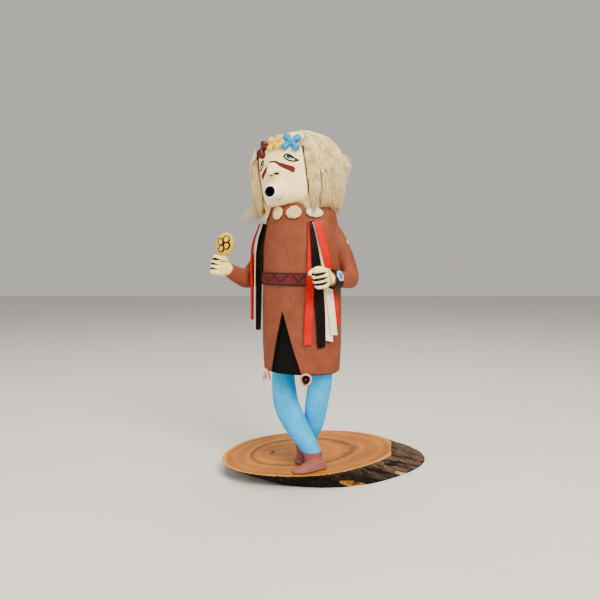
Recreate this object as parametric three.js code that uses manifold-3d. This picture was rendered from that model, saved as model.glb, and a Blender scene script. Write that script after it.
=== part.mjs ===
// A carved and painted kachina doll with a fur wig, on a slice of branch.
// Millimetres, +Z up. The origin is the centre of the slab's underside, +X runs along
// the slab, and the doll's display side is -Y.
import * as THREE from "three";
import { mergeVertices } from "three/addons/utils/BufferGeometryUtils.js";
import Module from "manifold-3d";

const wasm = await Module();
wasm.setup();

// ---- driving dimensions ----------------------------------------------------
const GAP = 0.32; // clearance between neighbouring pieces
const deg = THREE.MathUtils.degToRad;

// The slab is an oblique slice: its outline is an oval that shifts from top to underside.
const SLAB_THICK = 11.8;
const SLAB_LONG = 88; // half the long axis
const SLAB_SHORT = 67; // half the short axis
const SLAB_TURN = deg(32); // long axis from +X
const SLAB_LEAN = [-30, -6]; // top centre, seen from the underside's centre
const BARK_LUMP = 1.1;

// The figure stands near the front of the slab and faces the viewer's left.
const FIGURE_AT = [-38.1, -47];
const FIGURE_TURN = deg(-32);
const SOLE_Z = SLAB_THICK + GAP;
const CUFF_Z = 26;
const HEM_Z = 98;
const SLIT_TOP_Z = 151;
const BELT_LOW_Z = 173.4;
const BELT_HIGH_Z = 184;
const SHOULDER_Z = 222;
const COLLAR_Z = 234;
const NECK_Z = 243;
const TUNIC_HALF = [36.5, 29.2]; // across and front to back
const TUNIC_WALL = 2.2;
const BELT_PROUD = 0.9;
const SLIT_HALF = 13;

// The head leans and turns on the neck.
const HEAD_AT = [-1.4, -2.1, 240];
const HEAD_TURN = deg(-4); // past the body's own turn
const HEAD_ROLL = deg(-8);
const HEAD_PITCH = deg(2);
const HEAD_HALF = 30;
const HEAD_HIGH = 59;
const MASK_EDGE = deg(54); // the mask ends this far round from the nose
const MOUTH_Z = 12.5;
const MOUTH_REACH = 39.5;
const MOUTH_RIM = 5.3;
const MOUTH_BORE = 3.9;
const NOSE_Z = [26.2, 39];

const FLOWER_Z = 52;
const FLOWER_ANGLE = deg(31);
const PETAL = [3.9, 2.4, 3.2];
const PETAL_OUT = 3.9;

const RIBBON_WIDE = 6.8;
const RIBBON_THICK = 0.4;
const LAYER = RIBBON_THICK + GAP + 0.18; // flat strips on a curved side need a little more

const RIBBON_OFF = GAP + BELT_PROUD + 0.75; // the lowest ribbon clears the belt

const SHELL_STEP = deg(36);
const RATTLE_HALF = [7.9, 4.6, 10.3];

const BLACK = 0x17130f;
const WHITE = 0xe9e4da;
const RED = 0xd9302a;

const finish = (color, roughness = 0.7, metalness = 0) =>
  new THREE.MeshStandardMaterial({ color, roughness, metalness });

// ---- helpers: forms made from bent three.js solids, joined and cut with manifold ----
const V = (x, y, z) => new THREE.Vector3(x, y, z);

function solid(geometry) {
  const bare = geometry.clone();
  bare.deleteAttribute("normal");
  bare.deleteAttribute("uv");
  const merged = mergeVertices(bare, 1e-4);
  const mesh = new wasm.Mesh({
    numProp: 3,
    vertProperties: new Float32Array(merged.attributes.position.array),
    triVerts: new Uint32Array(merged.index.array),
  });
  return new wasm.Manifold(mesh);
}

function geometryOf(body) {
  const mesh = body.getMesh();
  const geometry = new THREE.BufferGeometry();
  geometry.setAttribute("position", new THREE.BufferAttribute(mesh.vertProperties, mesh.numProp));
  geometry.setIndex(new THREE.BufferAttribute(mesh.triVerts, 1));
  geometry.computeVertexNormals();
  return geometry;
}

const joined = (...bodies) => bodies.reduce((sum, body) => sum.add(body));
const cut = (body, ...tools) => tools.reduce((rest, tool) => rest.subtract(tool), body);

// Moves every point of a geometry by a function of its old place.
function bent(geometry, place) {
  const position = geometry.attributes.position;
  for (let i = 0; i < position.count; i++) {
    const to = place(position.getX(i), position.getY(i), position.getZ(i));
    position.setXYZ(i, to.x, to.y, to.z);
  }
  return geometry;
}

// A rounded limb or drum: oval sections along a smooth path through the keys.
// Each key is [x, y, z, half across, half deep]; `side` is roughly the across direction.
function limb(keys, { sides = 10, steps = 8, side = V(1, 0, 0), grow = 0 } = {}) {
  const path = new THREE.CatmullRomCurve3(keys.map((k) => V(k[0], k[1], k[2])), false, "centripetal");
  const sizes = new THREE.CatmullRomCurve3(keys.map((k) => V(k[3], k[4], 0)), false, "centripetal");
  return bent(new THREE.CylinderGeometry(1, 1, 1, sides, steps), (x, y, z) => {
    const t = THREE.MathUtils.clamp(y + 0.5, 0, 1);
    const along = path.getTangent(t);
    const across = side.clone().addScaledVector(along, -side.dot(along)).normalize();
    const deep = new THREE.Vector3().crossVectors(along, across);
    const size = sizes.getPoint(t);
    return path
      .getPoint(t)
      .addScaledVector(across, x * (size.x + grow))
      .addScaledVector(deep, -z * (size.y + grow));
  });
}

function blob(center, half, { wide = 12, high = 8, turn = null } = {}) {
  const ball = new THREE.SphereGeometry(1, wide, high).scale(...half);
  if (turn) ball.applyQuaternion(turn);
  return ball.translate(...center);
}

// The turn that carries X to `across` and Z to `up`, as near as they allow.
function turnTo(across, up) {
  const x = across.clone().normalize();
  const z = up.clone().addScaledVector(x, -up.dot(x)).normalize();
  const y = new THREE.Vector3().crossVectors(z, x);
  return new THREE.Quaternion().setFromRotationMatrix(new THREE.Matrix4().makeBasis(x, y, z));
}

function node(name, geometry, material) {
  const mesh = new THREE.Mesh(geometry, material);
  mesh.name = name;
  return mesh;
}

// ---- base slab -------------------------------------------------------------
function slabEdge(angle) {
  const a = angle - SLAB_TURN;
  const oval = 1 / Math.hypot(Math.cos(a) / SLAB_LONG, Math.sin(a) / SLAB_SHORT);
  return oval * (1 + 0.012 * Math.sin(3 * angle + 0.6) + 0.008 * Math.sin(5 * angle + 2.1));
}

function baseSlab() {
  const slab = new THREE.CylinderGeometry(1, 1, 1, 52, 3).rotateX(Math.PI / 2);
  return bent(slab, (x, y, z) => {
    const up = z + 0.5;
    const angle = Math.atan2(y, x);
    const inside = up > 0.01 && up < 0.99;
    const bark = inside ? BARK_LUMP * (1 + Math.sin(23 * angle + 5 * up) + 0.6 * Math.sin(41 * angle)) : 0;
    const r = Math.hypot(x, y) * (slabEdge(angle) + bark);
    return V(
      SLAB_LEAN[0] * up + r * Math.cos(angle),
      SLAB_LEAN[1] * up + r * Math.sin(angle),
      SLAB_THICK * up,
    );
  });
}

// ---- tunic -----------------------------------------------------------------
// Half widths of the tunic at a height, as [z, share of the full oval].
const TUNIC_SHARES = [
  [HEM_Z, 0.965],
  [122, 1.0],
  [150, 1.0],
  [BELT_HIGH_Z, 0.985],
  [205, 0.975],
  [SHOULDER_Z, 0.94],
  [COLLAR_Z, 0.86],
  [NECK_Z, 0.76],
];

function tunicShare(z) {
  const last = TUNIC_SHARES.length - 1;
  for (let i = 0; i < last; i++) {
    const [z0, s0] = TUNIC_SHARES[i];
    const [z1, s1] = TUNIC_SHARES[i + 1];
    if (z <= z1) return s0 + (s1 - s0) * THREE.MathUtils.clamp((z - z0) / (z1 - z0), 0, 1);
  }
  return TUNIC_SHARES[last][1];
}

function tunicDrum(grow) {
  const low = HEM_Z - grow;
  const high = NECK_Z + grow;
  const drum = new THREE.CylinderGeometry(1, 1, 1, 30, 7).rotateX(Math.PI / 2);
  return bent(drum, (x, y, z) => {
    const height = low + (high - low) * (z + 0.5);
    const share = tunicShare(height);
    return V(x * (TUNIC_HALF[0] * share + grow), y * (TUNIC_HALF[1] * share + grow), height);
  });
}

// A point on the tunic, `angle` round from its front towards the figure's left.
function onTunic(angle, z, off = 0) {
  const share = tunicShare(z);
  const [a, b] = [TUNIC_HALF[0] * share, TUNIC_HALF[1] * share];
  const r = 1 / Math.hypot(Math.sin(angle) / a, Math.cos(angle) / b);
  const point = V(r * Math.sin(angle), -r * Math.cos(angle), z);
  const normal = V(point.x / a ** 2, point.y / b ** 2, 0).normalize();
  return { at: point.addScaledVector(normal, off), normal };
}

function ovalPlate(half, low, high, sides) {
  const drum = new THREE.CylinderGeometry(1, 1, high - low, sides).rotateX(Math.PI / 2);
  return drum.scale(half[0], half[1], 1).translate(0, 0, (low + high) / 2);
}

function slitPrism() {
  const outline = new THREE.Shape();
  outline.moveTo(-SLIT_HALF, HEM_Z - 5);
  outline.lineTo(SLIT_HALF, HEM_Z - 5);
  outline.lineTo(0, SLIT_TOP_Z);
  outline.closePath();
  const prism = new THREE.ExtrudeGeometry(outline, { depth: 40, bevelEnabled: false });
  return prism.rotateX(Math.PI / 2).translate(-1.5, -8, 0);
}

function tunic() {
  const beltHalf = TUNIC_HALF.map((half) => half + BELT_PROUD);
  const inner = TUNIC_HALF.map((half) => half * 0.965 - TUNIC_WALL);
  const belt = solid(ovalPlate(beltHalf, BELT_LOW_Z, BELT_HIGH_Z, 32));
  const underskirt = solid(ovalPlate(inner, HEM_Z - 0.6, BELT_LOW_Z, 24));
  return joined(cut(solid(tunicDrum(0)), solid(slitPrism())), belt, underskirt);
}

// ---- legs and moccasins ----------------------------------------------------
const RIGHT_LEG = [
  [-18, -2, HEM_Z + 6, 9.2, 9.6],
  [-16.6, -3.5, 84, 10.4, 10.8],
  [-12.6, -5.2, 66, 11.2, 11],
  [-2.1, -6.6, 49.6, 10.6, 10.4],
  [8.6, -4.6, 34, 8.4, 8.4],
  [13.2, -3.4, CUFF_Z, 7.6, 7.6],
];
const LEFT_LEG = [
  [19.4, 2.6, HEM_Z + 6, 9.6, 9.6],
  [15.6, 5, 84, 10.4, 10.4],
  [11.3, 7.6, 68, 10.2, 10.4],
  [4.8, 12.5, 46.4, 8.8, 9.2],
  [-2.4, 15.6, 33, 7.8, 7.8],
  [-7, 16.7, CUFF_Z, 7.2, 7.4],
];

// A moccasin from heel to toe, flat below, with its ankle under the leg.
function moccasin(heel, toe, ankle) {
  const along = V(toe[0] - heel[0], toe[1] - heel[1], 0);
  const step = (share, wide, high) => [
    heel[0] + along.x * share,
    heel[1] + along.y * share,
    SOLE_Z,
    wide,
    high,
  ];
  const across = V(-along.y, along.x, 0).normalize();
  const keys = [
    step(-0.02, 3.2, 5),
    step(0.07, 5.8, 8.4),
    step(0.3, 6.7, 10),
    step(0.55, 7.2, 7.4),
    step(0.82, 6.6, 4.4),
    step(0.97, 3.8, 3),
    step(1.02, 1.6, 1.6),
  ];
  const foot = solid(limb(keys, { sides: 10, steps: 7, side: across }));
  const collar = solid(
    limb(
      [
        [ankle[0], ankle[1], SOLE_Z - 2, 6.6, 6.8],
        [ankle[0], ankle[1], 20, 6.8, 7],
        [ankle[0], ankle[1], CUFF_Z + 1, 7.1, 7.2],
      ],
      { sides: 10, steps: 2 },
    ),
  );
  const floor = solid(new THREE.BoxGeometry(90, 90, 20).translate(0, 0, SOLE_Z - 10));
  return cut(joined(foot, collar), floor);
}

// ---- arms and hands --------------------------------------------------------
const RIGHT_ARM = [
  [-24, 3, 226, 8, 8],
  [-34, 2, 209, 9.2, 8.6],
  [-45.4, -3, 188, 8.8, 9.4],
  [-50.8, -9.6, 178.4, 8.8, 9.2],
  [-54, -20, 180.6, 7.4, 7.8],
  [-56, -31.5, 186, 6, 6.2],
];
const LEFT_ARM = [
  [24, 3, 226, 8, 8],
  [33.5, 6.4, 207, 8.8, 8.4],
  [40.4, 10.5, 189, 7.4, 8.4],
  [44.2, 9, 179.6, 6.2, 8.2],
  [45, -4.8, 178.6, 5.1, 7.2],
  [42.4, -19.8, 179, 5.2, 6.6],
];
const armSide = V(1, 0, 0.2);
const RIGHT_FIST = V(-59.2, -40, 190);
const LEFT_FIST = V(37.7, -30.9, 180.3);

// A closed fist: a rounded palm, four curled fingers and a thumb.
function fist(center, wrist, palmSide, size, grow = 0) {
  const forward = center.clone().sub(wrist).normalize();
  const palm = palmSide.clone().addScaledVector(forward, -palmSide.dot(forward)).normalize();
  const thumb = new THREE.Vector3().crossVectors(forward, palm);
  if (thumb.z < 0) thumb.negate();
  const at = (f, t, p) =>
    center
      .clone()
      .addScaledVector(forward, f * size)
      .addScaledVector(thumb, t * size)
      .addScaledVector(palm, p * size);
  const key = (f, t, p, r) => [...at(f, t, p).toArray(), r * size + grow, r * size + grow];
  const backHalf = [8.2, 6, 8.6].map((half) => half * size + grow);
  const back = blob(at(-2, 0, 0).toArray(), backHalf, { wide: 8, high: 5, turn: turnTo(forward, thumb) });
  const inCuff = center.distanceTo(wrist) / size + 1.5;
  const heel = limb([key(-inCuff, 0, 0, 4.6), key(-6, 0, 0, 5.6), key(-2, 0, 0, 5)], {
    sides: 8,
    steps: 2,
    side: thumb,
  });
  const fingers = [7, 2.4, -2.3, -6.9].map((t, i) => {
    const reach = [6.6, 7.6, 7.2, 5.8][i];
    const keys = [
      key(-3, t * 0.96, -3.6, 2.3),
      key(reach - 2.5, t, -3.6, 2.6),
      key(reach, t, -0.2, 2.6),
      key(reach - 2.2, t, 4.2, 2.4),
      key(reach - 7, t, 4.2, 2.2),
    ];
    return solid(limb(keys, { sides: 5, steps: 4, side: thumb }));
  });
  const thumbKeys = [key(-5, 6, 2, 2.8), key(0, 8.2, 4.4, 2.7), key(5.4, 6.4, 5.8, 2.5), key(8, 5.6, 5.6, 1.4)];
  const thumbBody = solid(limb(thumbKeys, { sides: 5, steps: 3, side: palm }));
  return joined(solid(back), solid(heel), ...fingers, thumbBody);
}

// ---- head ------------------------------------------------------------------
const headFrame = new THREE.Matrix4().compose(
  V(...HEAD_AT),
  new THREE.Quaternion().setFromEuler(new THREE.Euler(HEAD_PITCH, HEAD_ROLL, HEAD_TURN, "ZYX")),
  V(1, 1, 1),
);

function headDrum(grow) {
  const shares = [0.8, 0.93, 0.985, 1, 1, 1, 0.99, 0.965, 0.91, 0.8, 0.6, 0.32, 0.02];
  const heights = [0, 0.035, 0.11, 0.25, 0.42, 0.58, 0.7, 0.79, 0.865, 0.925, 0.97, 0.993, 1];
  const drum = new THREE.CylinderGeometry(1, 1, 1, 22, shares.length - 1).rotateX(Math.PI / 2);
  return bent(drum, (x, y, z) => {
    const row = Math.round((z + 0.5) * (shares.length - 1));
    const r = HEAD_HALF * shares[row] + grow;
    const height = -grow + (HEAD_HIGH + 2 * grow) * heights[row];
    return V(x * r, y * r * 0.97, height);
  });
}

function muzzle() {
  const y = -MOUTH_REACH;
  return limb(
    [
      [0, -22, MOUTH_Z + 1, 14, 12],
      [0, -28, MOUTH_Z + 0.6, 11, 10.6],
      [0, -33, MOUTH_Z + 0.2, 7.6, 7.6],
      [0, y + 2, MOUTH_Z, MOUTH_RIM + 0.5, MOUTH_RIM + 0.5],
      [0, y, MOUTH_Z, MOUTH_RIM, MOUTH_RIM],
    ],
    { sides: 12, steps: 5 },
  );
}

function nose() {
  const [low, high] = NOSE_Z;
  const face = -HEAD_HALF * 0.9;
  return limb(
    [
      [0, face - 0.6, low, 4.6, 6.4],
      [0, face - 1, low + 2.2, 5.2, 8],
      [0, face - 1, (low + high) / 2, 3.6, 6],
      [0, face, high - 1.5, 2.4, 3.6],
      [0, face, high, 1.6, 2.4],
    ],
    { sides: 8, steps: 5 },
  );
}

function head() {
  const bore = new THREE.CylinderGeometry(MOUTH_BORE, MOUTH_BORE, 12, 12).translate(0, -MOUTH_REACH, MOUTH_Z);
  const whole = joined(solid(headDrum(0)), solid(muzzle()), solid(nose()));
  return cut(whole, solid(bore));
}

const placed = (body, matrix) => body.transform(matrix.elements);

// ---- fur wig ---------------------------------------------------------------
// A mushroom of fur over the head, open at the face, its lower edge in hanging locks.
function wigForm() {
  const profile = [
    [-8, 33],
    [-2, 37],
    [14, 40],
    [32, 40.8],
    [45, 38],
    [55, 31],
    [63, 18.5],
    [67, 0.6],
  ];
  const rows = profile.length - 1;
  const form = new THREE.CylinderGeometry(1, 1, 1, 24, rows).rotateX(Math.PI / 2);
  return bent(form, (x, y, z) => {
    const row = Math.round((z + 0.5) * rows);
    const angle = Math.atan2(y, x);
    const lock = Math.sin(11 * angle) + 0.5 * Math.sin(17 * angle + 1);
    const hang = 1 - row / rows;
    const [height, radius] = profile[row];
    const r = Math.hypot(x, y) > 0.5 ? radius + 1.1 * lock * hang : 0;
    const drop = row === 0 && r > 0 ? 3 * lock : 0;
    return V(r * Math.cos(angle), 3 + r * 0.95 * Math.sin(angle), height + drop);
  });
}

// The open face in plan, from one mask edge to the other and out past the wig.
function faceOpening() {
  const x = HEAD_HALF * Math.sin(MASK_EDGE);
  const y = HEAD_HALF * 0.97 * Math.cos(MASK_EDGE);
  const plan = new THREE.Shape();
  plan.moveTo(-60, -y + 9);
  plan.lineTo(-x, -y);
  plan.lineTo(x, -y);
  plan.lineTo(60, -y + 9);
  plan.lineTo(60, -80);
  plan.lineTo(-60, -80);
  plan.closePath();
  const opening = new THREE.ExtrudeGeometry(plan, { depth: 98, bevelEnabled: false });
  return opening.translate(0, 0, -40);
}

function wig(headCut, bodyCuts) {
  const form = cut(solid(wigForm()), solid(faceOpening()), headCut);
  return cut(placed(form, headFrame), ...bodyCuts);
}

// ---- flowers ---------------------------------------------------------------
function flower(turn) {
  const petals = [0, 1, 2, 3].map((i) => {
    const a = turn + (i * Math.PI) / 2;
    const out = V(Math.cos(a), 0, Math.sin(a));
    const center = [out.x * PETAL_OUT, 0, out.z * PETAL_OUT];
    return solid(blob(center, PETAL, { wide: 6, high: 4, turn: turnTo(out, V(0, 1, 0).cross(out)) }));
  });
  return joined(...petals, solid(blob([0, -0.5, 0], [2.6, 2.2, 2.6], { wide: 6, high: 4 })));
}

function flowerOnBrow(angle, z, turn, headCut) {
  const r = HEAD_HALF * 0.93;
  const seat = new THREE.Matrix4().compose(
    V(r * Math.sin(angle), -r * 0.97 * Math.cos(angle) - 0.6, z),
    new THREE.Quaternion().setFromEuler(new THREE.Euler(deg(-24), 0, angle, "ZXY")),
    V(1, 1, 1),
  );
  return cut(placed(flower(turn), seat), headCut);
}

// ---- shells ----------------------------------------------------------------
// A small domed valve with a beak at its hinge, flat side towards the collar.
function shell(half, tilt) {
  const valve = new THREE.SphereGeometry(1, 12, 5);
  bent(valve, (x, y, z) => {
    const angle = Math.atan2(z, x);
    const rib = 1 + 0.03 * Math.cos(9 * angle) * Math.hypot(x, z);
    const beak = z > 0.75 ? 1.12 : 1;
    return V(x * half[0] * rib, (y > 0 ? 0.35 : 1) * y * half[1], z * half[2] * rib * beak);
  });
  return valve.rotateY(tilt);
}

function shellOnCollar(angle, half, tilt) {
  const z = COLLAR_Z + 0.5;
  const { at, normal } = onTunic(angle, z, GAP + 0.7);
  const facing = Math.atan2(normal.x, -normal.y);
  const seat = new THREE.Matrix4().compose(
    at,
    new THREE.Quaternion().setFromEuler(new THREE.Euler(deg(-20), 0, facing, "ZXY")),
    V(1, 1, 1),
  );
  return placed(solid(shell(half, tilt)), seat);
}

// ---- ribbons ---------------------------------------------------------------
// A flat band through keys of { at, normal }, its face along each normal.
function band(keys) {
  const curve = (pick) => new THREE.CatmullRomCurve3(keys.map(pick), false, "centripetal");
  const path = curve((k) => k.at);
  const span = keys.length - 1;
  const normalAt = (t) => {
    const i = Math.min(Math.floor(t * span), span - 1);
    return keys[i].normal.clone().lerp(keys[i + 1].normal, t * span - i).normalize();
  };
  return bent(new THREE.BoxGeometry(RIBBON_WIDE, RIBBON_THICK, 1, 1, 1, 8), (x, y, z) => {
    const t = THREE.MathUtils.clamp(0.5 - z, 0, 1);
    const along = path.getTangent(t);
    const out = normalAt(t);
    out.addScaledVector(along, -out.dot(along)).normalize();
    const across = new THREE.Vector3().crossVectors(out, along);
    return path.getPoint(t).addScaledVector(across, x).addScaledVector(out, -y);
  });
}

const lying = (angle, z, layer) =>
  onTunic(deg(angle), z, RIBBON_OFF + layer * LAYER);

// A ribbon lying down the tunic, through [angle, height, layer].
function draped(keys) {
  const curve = new THREE.CatmullRomCurve3(keys.map((k) => V(...k)), false, "centripetal");
  return curve.getPoints(8).map((p) => lying(p.x, p.y, p.z));
}

// A ribbon hanging free from the shoulder, through [x, y, z, facing].
function hung(top, keys) {
  const free = keys.map(([x, y, z, facing]) => {
    const a = deg(facing);
    return { at: V(x, y, z), normal: V(Math.sin(a), -Math.cos(a), 0) };
  });
  const start = lying(...top);
  start.normal.lerp(free[0].normal, 0.7).normalize();
  return [start, ...free];
}

const RIBBONS = [
  ["left_ribbon_red", RED, draped([[46, 227.5, 0], [44.5, 195, 0], [44, 170, 0], [41.6, 124, 0]])],
  ["left_ribbon_black", BLACK, draped([[50, 227.5, 1], [55, 190, 0.7], [59.5, 165, 0.2], [64, 121.5, 0]])],
  ["left_ribbon_white_long", WHITE, draped([[53, 227.5, 2.05], [63, 192, 1.8], [71, 165, 1.3], [79, 127, 1]])],
  ["left_ribbon_white_short", WHITE, draped([[57, 226.5, 3.1], [66.5, 192, 2.9], [77, 165, 2.4], [89, 132, 2.1]])],
  ["left_ribbon_side_red", RED, draped([[58, 227.5, 4.3], [75, 200, 3.6], [84.5, 179, 1.05], [103, 143, 1.6]])],
  ["left_ribbon_side_black", BLACK, draped([[62, 225, 0], [75, 200, 0], [89, 168, 0], [93, 133, 0]])],
  [
    "right_ribbon_black",
    BLACK,
    hung([-54, 226, 0], [[-33.2, -19, 205, -36], [-35, -18, 175, -34], [-35, -18.4, 132.6, -34]]),
  ],
  [
    "right_ribbon_white",
    WHITE,
    hung([-57, 227, 1.6], [[-37.8, -19.4, 210, -74], [-39.6, -20.4, 175, -80], [-38.6, -20.8, 133, -76]]),
  ],
  [
    "right_ribbon_red",
    RED,
    hung([-64, 226.5, 3.6], [[-41.6, -16.2, 207, -76], [-42.4, -17, 175, -82], [-42.6, -16.6, 141.5, -78]]),
  ],
];

// ---- bow guard -------------------------------------------------------------
function alongArm(keys, from, to, grow) {
  const path = new THREE.CatmullRomCurve3(keys.map((k) => V(k[0], k[1], k[2])), false, "centripetal");
  const sizes = new THREE.CatmullRomCurve3(keys.map((k) => V(k[3], k[4], 0)), false, "centripetal");
  return [0, 0.5, 1].map((share) => {
    const t = from + (to - from) * share;
    const size = sizes.getPoint(t);
    return [...path.getPoint(t).toArray(), size.x + grow, size.y + grow];
  });
}

const GUARD_FROM = 0.9;
const GUARD_TO = 0.995;
const GUARD_LEATHER = 1.3;

function bowGuard(...cuts) {
  const outer = alongArm(LEFT_ARM, GUARD_FROM, GUARD_TO, GAP + GUARD_LEATHER);
  return cut(solid(limb(outer, { sides: 12, steps: 2, side: armSide })), ...cuts);
}

function guardStone() {
  const keys = alongArm(LEFT_ARM, GUARD_FROM, GUARD_TO, 0);
  const [x, y, z, across] = keys[1];
  const along = V(keys[2][0] - keys[0][0], keys[2][1] - keys[0][1], keys[2][2] - keys[0][2]).normalize();
  const out = new THREE.Vector3().crossVectors(V(0, 0, 1), along).normalize();
  if (out.x < 0) out.negate();
  const at = V(x, y, z).addScaledVector(out, across + 2 * GAP + GUARD_LEATHER + 0.7);
  const plate = new THREE.CylinderGeometry(3.2, 3.8, 1.1, 8).rotateY(Math.PI / 8);
  plate.scale(0.95, 1, 1.4).rotateX(Math.PI);
  const boss = new THREE.SphereGeometry(1, 8, 4).scale(1.9, 1.2, 2.9).translate(0, -0.4, 0);
  const whole = joined(solid(plate), solid(boss));
  const frame = new THREE.Matrix4().makeBasis(along, out.clone().negate(), V(0, 0, 1)).setPosition(at);
  return placed(whole, frame);
}

// ---- rattle ----------------------------------------------------------------
function rattle(handCut) {
  const handle = V(3.4, -0.6, 18.5).normalize();
  const top = RIGHT_FIST.clone().addScaledVector(handle, 19.6);
  const gourd = blob([0, 0, 0], RATTLE_HALF, { wide: 12, high: 8 });
  const stick = new THREE.CylinderGeometry(1.7, 1.7, 12, 8).rotateX(Math.PI / 2).translate(0, 0, -11);
  const palmHollow = blob(RIGHT_FIST.toArray(), [6.5, 6.5, 6.5], { wide: 8, high: 6 });
  const turn = turnTo(V(Math.cos(deg(22)), Math.sin(deg(22)), 0), handle);
  const frame = new THREE.Matrix4().compose(top, turn, V(1, 1, 1));
  return cut(placed(joined(solid(gourd), solid(stick)), frame), handCut, solid(palmHollow));
}

// ---- hem ties --------------------------------------------------------------
// Folded ribbon ends: a loop with two short tails, glued under the hem.
function hemTie(angle, spread) {
  const z = HEM_Z - 4.6;
  const { at, normal } = onTunic(angle, HEM_Z + 4, 1.9);
  const facing = Math.atan2(normal.x, -normal.y);
  const ring = new THREE.TorusGeometry(3.8, 1.1, 4, 9).rotateX(Math.PI / 2).scale(1, 1.6, 1.35);
  const tails = [-1, 1].map((way) =>
    solid(
      new THREE.BoxGeometry(2.6, 1.3, 9)
        .translate(0, 0, -4.5)
        .rotateY(way * spread)
        .translate(0, way * 0.5, 4.4),
    ),
  );
  const seat = new THREE.Matrix4().compose(
    V(at.x, at.y, z),
    new THREE.Quaternion().setFromEuler(new THREE.Euler(0, 0, facing)),
    V(1, 1, 1),
  );
  return placed(joined(solid(ring), ...tails), seat);
}

// ---- assembly --------------------------------------------------------------
const doll = new THREE.Group();
const figure = new THREE.Group();
figure.position.set(FIGURE_AT[0], FIGURE_AT[1], 0);
figure.rotation.z = FIGURE_TURN;
doll.add(figure);

const endOf = (keys) => V(...keys[keys.length - 1].slice(0, 3));
const armsGrown = (grow) =>
  [RIGHT_ARM, LEFT_ARM].map((keys) => solid(limb(keys, { steps: 9, side: armSide, grow })));
const rightHand = (grow) => fist(RIGHT_FIST, endOf(RIGHT_ARM), V(0.9, -0.4, 0), 0.84, grow);
const leftHand = (grow) => fist(LEFT_FIST, endOf(LEFT_ARM), V(-0.8, 0.5, 0), 1.0, grow);

const headWhole = placed(head(), headFrame);
const headCut = solid(headDrum(GAP));
const headCutPlaced = placed(headCut, headFrame);
const tunicCut = solid(tunicDrum(GAP));
const armCuts = armsGrown(GAP);

const carved = joined(
  tunic(),
  solid(limb(RIGHT_LEG, { sides: 10, steps: 8 })),
  solid(limb(LEFT_LEG, { sides: 10, steps: 8 })),
  moccasin([20.4, 4.4], [4.2, -24.4], [13.4, -2.6]),
  moccasin([-12.2, 26.5], [-1.6, -2.6], [-7.4, 16.4]),
  ...armsGrown(0),
  rightHand(0),
  leftHand(0),
  headWhole,
);

doll.add(node("base_slab", baseSlab(), finish(0xc98f4c, 0.35)));
figure.add(node("carved_figure", geometryOf(carved), finish(0xb0664a)));

const brow = [
  ["flower_red", -FLOWER_ANGLE, 0x7a2622, 0.3],
  ["flower_yellow", 0, 0xe0c330, 0.75],
  ["flower_blue", FLOWER_ANGLE, 0x2f8fcb, 0.45],
];
for (const [name, angle, color, turn] of brow) {
  const body = placed(flowerOnBrow(angle, FLOWER_Z, turn, headCut), headFrame);
  figure.add(node(name, geometryOf(body), finish(color, 0.3)));
}

const SHELLS = [
  ["shell_1", -1.5, [5.6, 2.2, 6.2], 0.3],
  ["shell_2", -0.5, [5.4, 2.3, 6.2], -0.4],
  ["shell_3", 0.5, [7, 2.3, 5.4], 0.05],
  ["shell_4", 1.5, [7.2, 2.2, 4.4], 0.1],
];
const shellCuts = SHELLS.map(([, place, half, tilt]) => {
  const grown = half.map((side) => side + GAP);
  return shellOnCollar(place * SHELL_STEP, grown, tilt);
});
for (const [name, place, half, tilt] of SHELLS) {
  const body = cut(shellOnCollar(place * SHELL_STEP, half, tilt), tunicCut, headCutPlaced);
  figure.add(node(name, geometryOf(body), finish(0xe4d9bd, 0.4)));
}

const wigBody = wig(headCut, [tunicCut, ...armCuts, ...shellCuts]);
figure.add(node("fur_wig", geometryOf(wigBody), finish(0xd8cbb0, 0.95)));

for (const [name, color, keys] of RIBBONS) {
  figure.add(node(name, band(keys), finish(color, 0.35)));
}

const ribbonRoom = solid(tunicDrum(RIBBON_OFF + 3.6 * LAYER));
const guard = bowGuard(armCuts[1], leftHand(GAP), ribbonRoom);
figure.add(node("bow_guard", geometryOf(guard), finish(BLACK, 0.5)));
figure.add(node("bow_guard_stone", geometryOf(guardStone()), finish(0x9fc4cc, 0.3)));
figure.add(node("rattle", geometryOf(rattle(rightHand(GAP))), finish(0xe5db4a, 0.4)));
figure.add(node("hem_tie_right", geometryOf(hemTie(deg(-37), 0.35)), finish(0xc99a92)));
figure.add(node("hem_tie_left", geometryOf(hemTie(deg(39), 0.3)), finish(0xc99a92)));

export default doll;
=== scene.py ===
"""A carved and painted kachina doll with a fur wig, standing on an oblique slice of branch."""
import math

import bmesh
import bpy
import numpy as np
from mathutils import Euler, Matrix, Vector, noise


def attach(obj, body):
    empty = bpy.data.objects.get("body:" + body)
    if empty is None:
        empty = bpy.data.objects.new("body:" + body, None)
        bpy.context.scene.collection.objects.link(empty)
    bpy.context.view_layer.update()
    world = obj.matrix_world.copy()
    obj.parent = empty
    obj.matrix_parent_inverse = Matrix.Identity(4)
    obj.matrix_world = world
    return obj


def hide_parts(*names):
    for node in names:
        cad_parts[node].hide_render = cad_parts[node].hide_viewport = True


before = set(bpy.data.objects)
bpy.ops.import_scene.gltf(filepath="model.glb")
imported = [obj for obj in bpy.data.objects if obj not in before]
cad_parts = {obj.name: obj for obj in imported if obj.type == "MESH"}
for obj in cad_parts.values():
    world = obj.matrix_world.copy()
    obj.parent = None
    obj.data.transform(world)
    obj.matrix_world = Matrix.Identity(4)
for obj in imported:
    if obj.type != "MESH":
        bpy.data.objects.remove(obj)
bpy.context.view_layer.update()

# ---- sizes, in millimetres, the same as the solids' ------------------------
MM = 0.001
GAP = 0.32
TO_METRES = Matrix.Scale(MM, 4)
ROW = Matrix.Identity(4)
FIGURE = Matrix.Translation((-38.1, -47, 0)) @ Matrix.Rotation(math.radians(-32), 4, "Z")
HEAD_TILT = Matrix.Rotation(math.radians(-8), 4, "Y") @ Matrix.Rotation(math.radians(2), 4, "X")
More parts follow.
